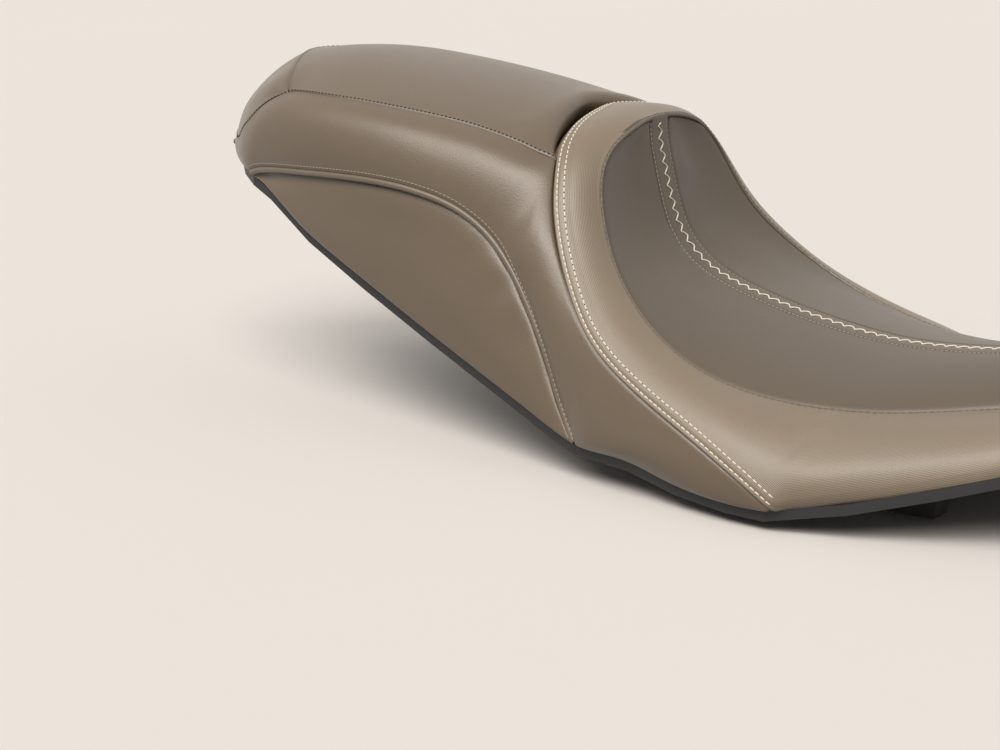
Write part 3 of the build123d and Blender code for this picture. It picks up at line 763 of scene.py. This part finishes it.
PAD_SIDE = TOP_SEAM.part(CROSS_CORNER, HUMP_CORNER)
pad = Panel("passenger_pad", pad_ribs(), PAD_SIDE, PAD_SIDE.across(), edges=(TOP_EDGE,) * 2,
            ends=(lapped(0.6, (2.2,)), rolled(2.0)),
            end_seams=(CROSS_SEAM.backwards().then(CROSS_SEAM.across()), None))
HUMP_EDGE = BOLSTER_SEAM.part(HUMP_CORNER, HUMP_TOP).there_and_back()
hump_wall = web("hump_wall", HUMP_EDGE, Seam(pad_ribs()[-1]), sag=1.5)
TAIL_LOW = TOP_SEAM.part(TAIL_END, CROSS_CORNER)
tail_ribs = ribs_between(CROSS_SEAM, TAIL_LOW, TAIL_STATIONS)
tail = Panel("tail_panel", mirror_ribs(tail_ribs[:0:-1]) + tail_ribs,
             CROSS_SEAM.across().backwards().then(CROSS_SEAM),
             TAIL_LOW.across().backwards().then(TAIL_LOW), edges=(sunk(1.2, 2.0), TOP_EDGE))
SIDE_TOP = TOP_SEAM.then(BOLSTER_SEAM.part(HUMP_CORNER, LEG_FOOT))
SIDE_LOW = HEM.part(HEM_REAR, WELT_START).then(PIPED_SEAM).then(HEM.part(WELT_END, HEM_SIDE))
side = Panel("side_panel_right", ribs_between(SIDE_TOP, SIDE_LOW, SIDE_STATIONS), SIDE_TOP,
             SIDE_LOW, edges=(TUCKED_EDGE, rolled(4.0)), ends=(flush(1.4, 1.6), None),
             shape=flat_top)
SKIRT_LOW = HEM.part(WELT_START, WELT_END)
skirt = Panel("skirt_panel_right", ribs_between(PIPED_SEAM, SKIRT_LOW, SKIRT_STATIONS),
              PIPED_SEAM, SKIRT_LOW, edges=(sunk(4.5, 7.0), rolled(5.0)))
OUTER_EDGE = BOLSTER_SEAM.then(HEM.part(HEM_SIDE, HEM_NOSE))
bolster_ribs = ribs_between(OUTER_EDGE, INSERT_SEAM, BOLSTER_STATIONS)
bolster = Panel("bolster", bolster_ribs + mirror_ribs(bolster_ribs[-2::-1]),
                OUTER_EDGE.there_and_back(), INSERT_SEAM.there_and_back(), closed=True,
                edges=(SEWN_EDGE, lapped(0.6, (INSERT_ROW,), edge=1.3, fade=2.0)),
                ease=beside_leg_foot, shape=under_hem)
insert = Panel("insert_right", ribs_between(STRIP_SEAM, INSERT_SEAM, INSERT_STATIONS),
               STRIP_SEAM, INSERT_SEAM, edges=(flush(1.2, 1.4), sunk(1.5, 2.2)))
strip = Panel("centre_strip",
              [[(x, y, z), (x + 0.1, 0, z + 0.4), (x, -y, z)] for x, y, z in STRIP_SEAM.places(34)],
              STRIP_SEAM, STRIP_SEAM.across(), edges=(flush(1.0, 1.2),) * 2)
fill_panels([(pad, 3.0, 6.0), (tail, 3.0, 5.0), (side, 3.0, 4.0), (skirt, 2.0, 3.0),
             (bolster, 4.0, 5.0), (insert, 0.4, 1.5)])
pieces = {panel.name: panel.build()
          for panel in (pad, tail, side, skirt, bolster, insert, strip, hump_wall)}

# The cover turned in under the nose, from the bolster's hem back to the pan's front edge
PAN_LIP = Seam([(PAN_FRONT, y, z) for y, z in ((-82, -101), (-45, -97), (0, -95.6),
                                               (45, -97), (82, -101))])
hem_rows = bolster.outer[bolster.outer[:, 0, 0] > PAN_FRONT, 0]
NOSE_RIM = Seam(dense=hem_rows + (-1.0, 0, 2.6))
pieces["nose_under"] = web("nose_under", NOSE_RIM, PAN_LIP).build()


def mirrored_piece(piece, name):
    """The left-hand twin of a right-hand piece, with its faces turned outwards again."""
    mesh = piece.data.copy()
    mesh.name = name
    mesh.transform(Matrix.Scale(-1.0, 4, Vector((0, 1, 0))))
    mesh.flip_normals()
    twin = bpy.data.objects.new(name, mesh)
    scene.collection.objects.link(twin)
    return twin


for right_name in ("side_panel_right", "skirt_panel_right", "insert_right"):
    left_name = right_name.replace("right", "left")
    pieces[left_name] = mirrored_piece(pieces[right_name], left_name)


# Wires and nodes, for threads and finishes alike
def add_node(tree, kind, settings=None, output=0, **sockets):
    """Adds a node: its type, its settings, and what its sockets hold, by name or by i and
    their number. Returns the wire of one of its outputs."""
    node = tree.nodes.new(kind)
    for key, value in (settings or {}).items():
        setattr(node, key, value)
    for key, value in sockets.items():
        numbered = key[0] == "i" and key[1:].isdigit()
        socket = node.inputs[int(key[1:]) if numbered else key.replace("_", " ")]
        if isinstance(value, Wire):
            tree.links.new(value.socket, socket)
        else:
            socket.default_value = value
    return Wire(tree, node.outputs[output]) if len(node.outputs) else None


class Wire:
    """A node's socket that takes part in sums: each operator adds its Math node."""

    def __init__(self, tree, socket):
        self.tree, self.socket = tree, socket

    def math(self, operation, *others):
        terms = {"i%d" % i: value for i, value in enumerate((self,) + others)}
        return add_node(self.tree, "ShaderNodeMath", {"operation": operation}, **terms)

    def __add__(self, other):
        return self.math("ADD", other)

    __radd__ = __add__

    def __mul__(self, other):
        return self.math("MULTIPLY", other)

    __rmul__ = __mul__

    def __sub__(self, other):
        return self.math("SUBTRACT", other)

    def __rsub__(self, other):
        return self.math("MULTIPLY", -1.0).math("ADD", other)


# Sewing
class RowTree:
    """A Geometry Nodes tree that lays thread or holes along a line, with named inputs."""

    def __init__(self, name, sizes):
        self.tree = bpy.data.node_groups.new(name, "GeometryNodeTree")
        sockets = self.tree.interface
        sockets.new_socket("Geometry", in_out="INPUT", socket_type="NodeSocketGeometry")
        for label, value in sizes.items():
            made = sockets.new_socket(label, in_out="INPUT", socket_type="NodeSocketFloat")
            made.default_value = value
        sockets.new_socket("Thread", in_out="INPUT", socket_type="NodeSocketMaterial")
        sockets.new_socket("Geometry", in_out="OUTPUT", socket_type="NodeSocketGeometry")
        self.path = self.add("GeometryNodeMeshToCurve", i0=self.given("Geometry"))
        self.lift = self.add("GeometryNodeInputNamedAttribute", {"data_type": "FLOAT_VECTOR"},
                             output="Attribute", Name="lift")

    def add(self, kind, settings=None, output=0, **sockets):
        return add_node(self.tree, kind, settings, output, **sockets)

    def given(self, label):
        return self.add("NodeGroupInput", output=label)

    def tangent(self):
        return self.add("GeometryNodeInputTangent")

    def vectors(self, operation, **sockets):
        return self.add("ShaderNodeVectorMath", {"operation": operation}, **sockets)

    def spaced(self, length):
        """The line cut into equal steps."""
        return self.add("GeometryNodeResampleCurve", {"mode": "LENGTH"}, Curve=self.path,
                        Length=length)

    def thread(self, line):
        """A six-sided thread along a line."""
        ring = self.add("GeometryNodeCurvePrimitiveCircle", {"mode": "RADIUS"}, Resolution=6,
                        Radius=self.given("Thread Radius"))
        return self.add("GeometryNodeCurveToMesh", Curve=line, Profile_Curve=ring,
                        Fill_Caps=True)

    def at_points(self, points, shape, facing, **sockets):
        return self.add("GeometryNodeInstanceOnPoints", Points=points, Instance=shape,
                        Rotation=facing, **sockets)

    def close(self, shape):
        """Ends the tree: instances made real, smoothed and given their material."""
        real = self.add("GeometryNodeRealizeInstances", i0=shape)
        smooth = self.add("GeometryNodeSetShadeSmooth", i0=real)
        dyed = self.add("GeometryNodeSetMaterial", i0=smooth, Material=self.given("Thread"))
        self.add("NodeGroupOutput", i0=dyed)
        return self.tree


def stitch_tree():
    """Single stitches along a line, each a short arch that dips into the cover."""
    row = RowTree("stitch_row", {"Pitch": 0.0042, "Stitch Length": 0.0032,
                                 "Thread Radius": 0.0005, "Dip": 0.0006})
    half, dip = row.given("Stitch Length") * 0.5, row.given("Dip")
    arch = row.add("GeometryNodeCurveQuadraticBezier", Resolution=4,
                   Start=row.add("ShaderNodeCombineXYZ", X=half * -1.0, Z=dip * -1.0),
                   Middle=row.add("ShaderNodeCombineXYZ", Z=dip),
                   End=row.add("ShaderNodeCombineXYZ", X=half, Z=dip * -1.0))
    along = row.add("FunctionNodeAlignRotationToVector", {"axis": "X"}, Vector=row.tangent())
    facing = row.add("FunctionNodeAlignRotationToVector", {"axis": "Z", "pivot_axis": "X"},
                     Rotation=along, Vector=row.lift)
    return row.close(row.at_points(row.spaced(row.given("Pitch")), row.thread(arch), facing))


def zigzag_tree():
    """One thread that swings from side to side of its line and dips at each turn."""
    row = RowTree("zigzag_thread", {"Pitch": 0.008, "Sway": 0.002, "Thread Radius": 0.0005,
                                    "Dip": 0.0003})
    line = row.spaced(row.given("Pitch") * 0.25)
    swing = (row.add("GeometryNodeInputIndex") * (math.pi / 2)).math("SINE")
    across = row.vectors("CROSS_PRODUCT", i0=row.tangent(), i1=row.lift)
    out = row.vectors("SCALE", i0=across, Scale=swing * row.given("Sway"))
    down = row.vectors("SCALE", i0=row.lift, Scale=swing.math("ABSOLUTE") * row.given("Dip"))
    moved = row.add("GeometryNodeSetPosition", i0=line,
                    Offset=row.vectors("SUBTRACT", i0=out, i1=down))
    return row.close(row.thread(moved))


def hole_tree():
    """Needle holes along a line: small flat near-black beads, painted shade for the dark inside of
    each hole.
    """
    row = RowTree("needle_holes", {"Pitch": 0.0043, "Hole Radius": 0.0005})
    bead = row.add("GeometryNodeMeshIcoSphere", Radius=row.given("Hole Radius"),
                   Subdivisions=1)
    facing = row.add("FunctionNodeAlignRotationToVector", {"axis": "Z"}, Vector=row.lift)
    return row.close(row.at_points(row.spaced(row.given("Pitch")), bead, facing,
                                   Scale=(1.0, 1.0, 0.3)))


def sew(name, rows, tree, sizes):
    """Runs a tree along several lines and returns one plain mesh piece.
    A row is (points in mm, their normals)."""
    verts, edges, lifts = [], [], []
    for line, up in rows:
        base = len(verts)
        verts += [tuple(p * MM) for p in line]
        lifts += [tuple(n) for n in up]
        edges += [(base + i, base + i + 1) for i in range(len(line) - 1)]
    mesh = bpy.data.meshes.new(name + "_path")
    mesh.from_pydata(verts, edges, [])
    mark = mesh.attributes.new("lift", "FLOAT_VECTOR", "POINT")
    mark.data.foreach_set("vector", np.array(lifts, np.float32).ravel())
    path = bpy.data.objects.new(name + "_path", mesh)
    scene.collection.objects.link(path)
    made = path.modifiers.new("sew", "NODES")
    made.node_group = tree
    for item in tree.interface.items_tree:
        if item.in_out == "INPUT" and item.name in sizes:
            made[item.identifier] = sizes[item.name]
    graph = bpy.context.evaluated_depsgraph_get()
    piece = bpy.data.objects.new(name, bpy.data.meshes.new_from_object(
        path.evaluated_get(graph), depsgraph=graph))
    piece.data.name = name
    scene.collection.objects.link(piece)
    path.modifiers.clear()
    bpy.data.objects.remove(path)
    return piece


# Finishes
def shaded(colour, share):
    """A colour made darker or lighter, as a socket takes it."""
    return (*(c * share for c in colour), 1)


class Finish:
    """A material under construction: its tree, its shader's sockets and common nodes."""

    def __init__(self, name, **constants):
        self.material = bpy.data.materials.new(name)
        self.material.use_nodes = True
        self.tree = self.material.node_tree
        self.tree.nodes.clear()
        shader = self.node("ShaderNodeBsdfPrincipled", **constants)
        self.node("ShaderNodeOutputMaterial", Surface=shader)
        self.inputs = shader.socket.node.inputs

    def node(self, kind, settings=None, output=0, **sockets):
        return add_node(self.tree, kind, settings, output, **sockets)

    def feed(self, label, wire):
        self.tree.links.new(wire.socket, self.inputs[label])

    def place(self):
        return self.node("ShaderNodeTexCoord", output="Object")

    def noise(self, where, scale, detail=3.0, rough=0.55):
        return self.node("ShaderNodeTexNoise", Vector=where, Scale=scale, Detail=detail,
                         Roughness=rough)

    def mix(self, share, first, second):
        return self.node("ShaderNodeMix", {"data_type": "RGBA"}, output=2, i0=share,
                         i6=first, i7=second)

    def bump(self, height, strength, depth):
        self.feed("Normal", self.node("ShaderNodeBump", Height=height, Strength=strength,
                                      Distance=depth))


GRAIN = 950.0           # pebbles of the vinyl's grain along a metre
PRESSED_LINES = 0.0011  # metres between the fine lines pressed into the bolster's cover


def vinyl(name, colour, rough, ribs=0.0, coat=0.45):
    """Coated upholstery vinyl: a fine pebbled grain, soft broad sheen, and a painted dark line of
    shade and some dirt in its seams.
    ribs is the pitch of fine lines pressed along the panel, or 0 for none."""
    made = Finish(name, IOR=1.5, Coat_Weight=coat, Coat_Roughness=0.36, Coat_IOR=1.5)
    where = made.place()
    pebble = made.node("ShaderNodeTexVoronoi", {"feature": "SMOOTH_F1"}, output="Distance",
                       Vector=where, Scale=GRAIN, Smoothness=0.6)
    fine = made.noise(where, GRAIN * 2.3, 2.0)
    broad = made.noise(where, 9.0, 2.0)
    patch = made.noise(where, 55.0, 4.0)
    height = pebble * 0.8 + fine * 0.35
    if ribs:
        panel_map = made.node("ShaderNodeUVMap", {"uv_map": "panel"})
        across = made.node("ShaderNodeSeparateXYZ", output=1, Vector=panel_map)
        wave = (across * (2 * math.pi / ribs)).math("SINE") * 0.5 + 0.5
        height = height * 0.6 + wave * 0.8
    seam = made.node("ShaderNodeAttribute", {"attribute_name": "seamed"}, output="Fac")
    shade = made.mix(broad * 0.6 + patch * 0.4, shaded(colour, 0.94), shaded(colour, 1.06))
    shade = made.mix((1.0 - fine) * 0.16, shade, shaded(colour, 0.42))
    # Painted shade, with some dirt: the colour darkens towards 0.42 of itself along the seams,
    # following the seam mark.
    shade = made.mix(seam * seam * 0.75, shade, shaded(colour, 0.42))
    made.feed("Base Color", shade)
    made.feed("Roughness", patch * 0.10 + pebble * 0.10 + (rough - 0.10))
    made.bump(height, 0.55, 0.00022)
    return made.material


def thread(name, colour):
    """Twisted sewing thread."""
    made = Finish(name, Sheen_Weight=0.25)
    twist = made.noise(made.place(), 2600.0, 2.0)
    made.feed("Base Color", made.mix(twist, shaded(colour, 0.78), shaded(colour, 1.0)))
    made.feed("Roughness", twist * 0.15 + 0.54)
    made.bump(twist, 0.5, 0.0002)
    return made.material


def moulded(name, colour, rough, scale, depth):
    """Moulded plastic or rubber with a pressed texture and rubbed high spots."""
    made = Finish(name, IOR=1.5)
    where = made.place()
    skin = made.noise(where, scale, 3.0, 0.6)
    wear = made.noise(where, 22.0, 4.0, 0.65)
    made.feed("Base Color", made.mix(wear, shaded(colour, 0.8), shaded(colour, 1.25)))
    made.feed("Roughness", skin * 0.12 + wear * 0.14 + (rough - 0.13))
    made.bump(skin, 0.5, depth)
    return made.material


def coated_steel(name):
    """Pressed steel with satin black coating, thinner where it rubs."""
    made = Finish(name, IOR=1.5, Coat_Weight=0.25, Coat_Roughness=0.3)
    where = made.place()
    peel = made.noise(where, 420.0, 2.0)
    rub = made.noise(where, 38.0, 5.0, 0.7)
    made.feed("Base Color", made.mix(rub, (0.018, 0.018, 0.019, 1), (0.035, 0.034, 0.033, 1)))
    made.feed("Metallic", rub * 0.25 + 0.1)
    made.feed("Roughness", rub * 0.2 + peel * 0.1 + 0.25)
    made.bump(peel, 0.25, 0.0003)
    return made.material


finishes = {
    "cover": vinyl("cover_vinyl", (0.129, 0.094, 0.061), 0.40),
    # Bolster: lighter than the cover vinyl as a painted highlight, for the bright light its faces
    # catch; its pressed lines are its own.
    "bolster": vinyl("bolster_vinyl", (0.205, 0.158, 0.111), 0.42, PRESSED_LINES, 0.5),
    "insert": vinyl("insert_vinyl", (0.100, 0.077, 0.054), 0.46, coat=0.3),
    "strip": vinyl("strip_vinyl", (0.108, 0.083, 0.060), 0.46, coat=0.3),
    "piping": vinyl("piping_vinyl", (0.145, 0.109, 0.076), 0.38),
    "cream": thread("cream_thread", (0.84, 0.78, 0.64)),
    "tonal": thread("tonal_thread", (0.13, 0.100, 0.072)),
    "fine": thread("strip_thread", (0.34, 0.30, 0.24)),
    # Near-black needle holes: painted shade for the inside of each hole.
    "hole_shade": moulded("needle_hole", (0.012, 0.010, 0.009), 0.9, 900.0, 0.0001),
    "pan": moulded("pan_plastic", (0.018, 0.018, 0.019), 0.52, 700.0, 0.0002),
    "foot": moulded("foot_rubber", (0.022, 0.021, 0.020), 0.74, 1500.0, 0.0003),
    "steel": coated_steel("bracket_steel"),
}


# Where the thread runs
def flipped(rows):
    """The same rows on the other side."""
    return [(line * (1, -1, 1), up * (1, -1, 1)) for line, up in rows]


def trimmed(row, start, end):
    """A row without its first and last millimetres."""
    line, up = row
    run = lengths(line)
    keep = (run >= start) & (run <= run[-1] - end)
    return line[keep], up[keep]


def over_hump(row):
    """The stretch of a closed bolster row from the hem over the hump to the other hem."""
    line, up = row[0][:-1], row[1][:-1]
    kept = line[:, 0] < HEM_SIDE[0] - 1
    first = int(np.argmin(kept))
    line, up, kept = (np.roll(a, -first, axis=0) for a in (line, up, kept))
    return line[kept], up[kept]


def over_welt(row):
    """The stretch of a side panel's row that runs above the welt."""
    line, up = row
    kept = (line[:, 0] > WELT_START[0] + 2) & (line[:, 2] > WELT_END[2] + 7)
    return line[kept], up[kept]


STITCH_PITCH = 4.3      # of the main rows, which sit in needle holes
cream_rows = [over_hump(bolster.row(distance, lift=0.3)) for distance in CREAM_ROWS]
middle = strip.outer.shape[1] // 2
zigzag_row = (strip.outer[:, middle] + strip.normals[:, middle] * 0.4,
              strip.normals[:, middle])
cross_row = EDGE_STEPS.tolist().index(2.5)     # the pad's rib 2.5 mm from the cross seam
tonal_rows = [(pad.outer[cross_row] + pad.normals[cross_row] * 0.2, pad.normals[cross_row]),
              bolster.row(INSERT_ROW, second=True, lift=0.25)]
strip_rows = [trimmed(strip.row(0.9, second, lift=0.1), 5, 4) for second in (False, True)]
welt_rows = [over_welt(side.row(5.0, second=True, lift=0.2))]
hole_rows = [trimmed((line - up * 0.3, up), STITCH_PITCH / 2, STITCH_PITCH / 2)
             for line, up in cream_rows + tonal_rows]
seam_rows = [trimmed(pad.row(1.5, second, lift=0.1), 1, 1) for second in (False, True)]
seam_rows.append(tail.row(1.5, second=True, lift=0.15))
STITCH, ZIGZAG, HOLES = stitch_tree(), zigzag_tree(), hole_tree()


def stitched(pitch, length, radius, dip):
    """The sizes of a row of stitches, given in millimetres."""
    return {"Pitch": pitch * MM, "Stitch Length": length * MM, "Thread Radius": radius * MM,
            "Dip": dip * MM}


# Each sewn piece: its rows, its tree, its finish and its sizes
for name, rows, tree, finish, sizes in (
        ("cream_topstitch", cream_rows, STITCH, "cream", stitched(STITCH_PITCH, 3.1, 0.48, 0.7)),
        ("zigzag_thread", [trimmed(zigzag_row, 4, 3)], ZIGZAG, "cream",
         {"Pitch": 8.2 * MM, "Sway": 2.55 * MM, "Thread Radius": 0.5 * MM, "Dip": 0.3 * MM}),
        ("welt_stitches", welt_rows + flipped(welt_rows), STITCH, "fine",
         stitched(3.4, 2.2, 0.34, 0.3)),
        ("strip_stitches", strip_rows, STITCH, "fine", stitched(3.2, 1.9, 0.32, 0.2)),
        ("tonal_topstitch", tonal_rows, STITCH, "tonal", stitched(STITCH_PITCH, 3.4, 0.42, 0.5)),
        ("needle_holes", hole_rows, HOLES, "hole_shade",
         {"Pitch": STITCH_PITCH * MM, "Hole Radius": 0.55 * MM}),
        ("top_seam_holes", seam_rows, HOLES, "hole_shade",
         {"Pitch": 3.3 * MM, "Hole Radius": 0.8 * MM})):
    pieces[name] = sew(name, rows, tree, dict(sizes, Thread=finishes[finish]))


# Piping
PIPE_RADIUS = 2.4
PIPE_SIDES = 12
PIPE_STEPS = 230
PIPE_SINK = 0.9         # of the piping's middle under the seam


def tube(name, line, up, radius):
    """A closed round tube along a line, with a map of length and girth."""
    tangent = np.gradient(line, axis=0)
    tangent /= np.linalg.norm(tangent, axis=1, keepdims=True)
    sideways = np.cross(tangent, up)
    sideways /= np.linalg.norm(sideways, axis=1, keepdims=True)
    up = np.cross(sideways, tangent)
    run, n = lengths(line), len(line)
    verts, uv = [], []
    for k in range(PIPE_SIDES):
        angle = 2 * math.pi * k / PIPE_SIDES
        verts.append(line + radius * (math.cos(angle) * up + math.sin(angle) * sideways))
        uv.append(np.stack([run, np.full(n, angle * radius)], -1))
    net = np.arange(PIPE_SIDES * n).reshape(PIPE_SIDES, n)
    faces = quads(np.concatenate([net, net[:1]]))
    faces += [net[::-1, 0].tolist(), net[:, -1].tolist()]
    return make_mesh(name, np.concatenate(verts) * MM, faces, np.concatenate(uv) * MM,
                     np.zeros(n * PIPE_SIDES))


welt_edge, welt_up = side.row(0.0, second=True)
on_welt = ((welt_edge[:, 0] > WELT_START[0]) & (welt_edge[:, 0] < WELT_END[0] + 2)
           & (welt_edge[:, 2] > WELT_END[2] - 2))
welt_edge, welt_up = welt_edge[on_welt], welt_up[on_welt]
welt_line = PIPED_SEAM.at(np.linspace(2, PIPED_SEAM.run[-1] - 2, PIPE_STEPS))
near_up = np.array([welt_up[np.argmin(np.linalg.norm(welt_edge - p, axis=1))]
                    for p in welt_line])
pieces["piping_right"] = tube("piping_right_welt", welt_line - near_up * PIPE_SINK, near_up,
                              PIPE_RADIUS)
pieces["piping_left"] = mirrored_piece(pieces["piping_right"], "piping_left_welt")

# What each piece is: its finish, its slot, the CAD solids it stands for, and its fill
LOOKS = {
    "passenger_pad": ("cover", "cover_vinyl", ["passenger_top"], 0.7),
    "tail_panel": ("cover", "cover_vinyl", ["passenger_tail"], 0.6),
    "side_panel_right": ("cover", "cover_vinyl", ["passenger_side_right"], 0.6),
    "side_panel_left": ("cover", "cover_vinyl", ["passenger_side_left"], 0.6),
    "skirt_panel_right": ("cover", "cover_vinyl", ["passenger_skirt_right"], 0.4),
    "skirt_panel_left": ("cover", "cover_vinyl", ["passenger_skirt_left"], 0.4),
    "bolster": ("bolster", "bolster_vinyl", ["rider_bolster"], 0.8),
    "hump_wall": ("cover", "cover_vinyl", [], None),
    "nose_under": ("cover", "cover_vinyl", [], None),
    "insert_right": ("insert", "insert_vinyl", ["rider_insert"], 0.6),
    "insert_left": ("insert", "insert_vinyl", ["rider_insert"], 0.6),
    "centre_strip": ("strip", "strip_vinyl", ["rider_centre_strip"], 0.5),
    "piping_right": ("piping", "piping_vinyl", ["piping_right"], None),
    "piping_left": ("piping", "piping_vinyl", ["piping_left"], None),
    "cream_topstitch": ("cream", "bolster_vinyl", [], None),
    "zigzag_thread": ("cream", "strip_vinyl", [], None),
    "tonal_topstitch": ("tonal", "cover_vinyl", [], None),
    "needle_holes": ("hole_shade", "cover_vinyl", [], None),
    "top_seam_holes": ("hole_shade", "cover_vinyl", [], None),
    "strip_stitches": ("fine", "strip_vinyl", [], None),
    "welt_stitches": ("fine", "cover_vinyl", [], None),
}
for name, (finish, slot, stood_for, fill) in LOOKS.items():
    piece = pieces[name]
    piece.data.materials.clear()
    piece.data.materials.append(finishes[finish])
    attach(piece, "root")
    if stood_for:
        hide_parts(*stood_for)

# The CAD pieces that are seen as they are, and their finishes
CARRIED = {"seat_pan": "pan", "rear_tab": "steel", "front_tongue": "steel"}
for name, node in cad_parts.items():
    key = CARRIED.get(name, "foot" if "_foot_" in name else None)
    if key:
        for place in node.material_slots:
            place.material = finishes[key]
        if not node.material_slots:
            node.data.materials.append(finishes[key])

# Studio
FLOOR_GAP = 0.0004
FLOOR_HALF = 20.0
SUN_ANGLE = 34.0        # degrees, for soft edges
SUN_COLOUR = (1.0, 0.96, 0.90)
SUNS = {"key": ((0.32, -0.63, 0.71), 2.3), "fill": ((-0.25, -0.60, 0.76), 1.6)}


def seen(tree):
    """One for what the camera sees, in itself, in a reflection or through glass."""
    ray = lambda output: add_node(tree, "ShaderNodeLightPath", output=output)
    return ray("Is Camera Ray").math("MAXIMUM", ray("Is Glossy Ray")).math(
        "MAXIMUM", ray("Is Transmission Ray"))


def lay_floor():
    """A pale floor that throws little light back up under the seat."""
    low, half = cad_low.z - FLOOR_GAP, FLOOR_HALF
    corners = np.array([(-half, -half, low), (half, -half, low), (half, half, low),
                        (-half, half, low)])
    floor = make_mesh("floor", corners, [(0, 1, 2, 3)])
    made = Finish("floor_paint", Roughness=0.85)
    paint = made.mix(made.noise(made.place(), 1.3, 3.0), (0.70, 0.668, 0.645, 1),
                     (0.715, 0.683, 0.66, 1))
    made.feed("Base Color", made.mix(seen(made.tree), (0.11, 0.10, 0.095, 1), paint))
    floor.data.materials.append(made.material)


def light_studio():
    """A dim pale surround and two broad suns from the right, high over the seat."""
    world = bpy.data.worlds.new("studio")
    world.use_nodes = True
    tree = world.node_tree
    tree.nodes.clear()
    glow = add_node(tree, "ShaderNodeBackground", Color=(1.0, 0.985, 0.965, 1), Strength=0.26)
    backdrop = add_node(tree, "ShaderNodeBackground", Color=(0.80, 0.755, 0.72, 1))
    chosen = add_node(tree, "ShaderNodeMixShader", i0=seen(tree), i1=glow, i2=backdrop)
    add_node(tree, "ShaderNodeOutputWorld", Surface=chosen)
    scene.world = world
    for name, (come_from, power) in SUNS.items():
        lamp = bpy.data.lights.new(name, "SUN")
        lamp.energy, lamp.angle, lamp.color = power, math.radians(SUN_ANGLE), SUN_COLOUR
        holder = bpy.data.objects.new(name, lamp)
        holder.location = Vector(come_from) * 3.0
        holder.rotation_mode = "QUATERNION"
        holder.rotation_quaternion = Vector(come_from).to_track_quat("Z", "Y")
        scene.collection.objects.link(holder)


lay_floor()
light_studio()
scene.view_settings.view_transform = "Standard"
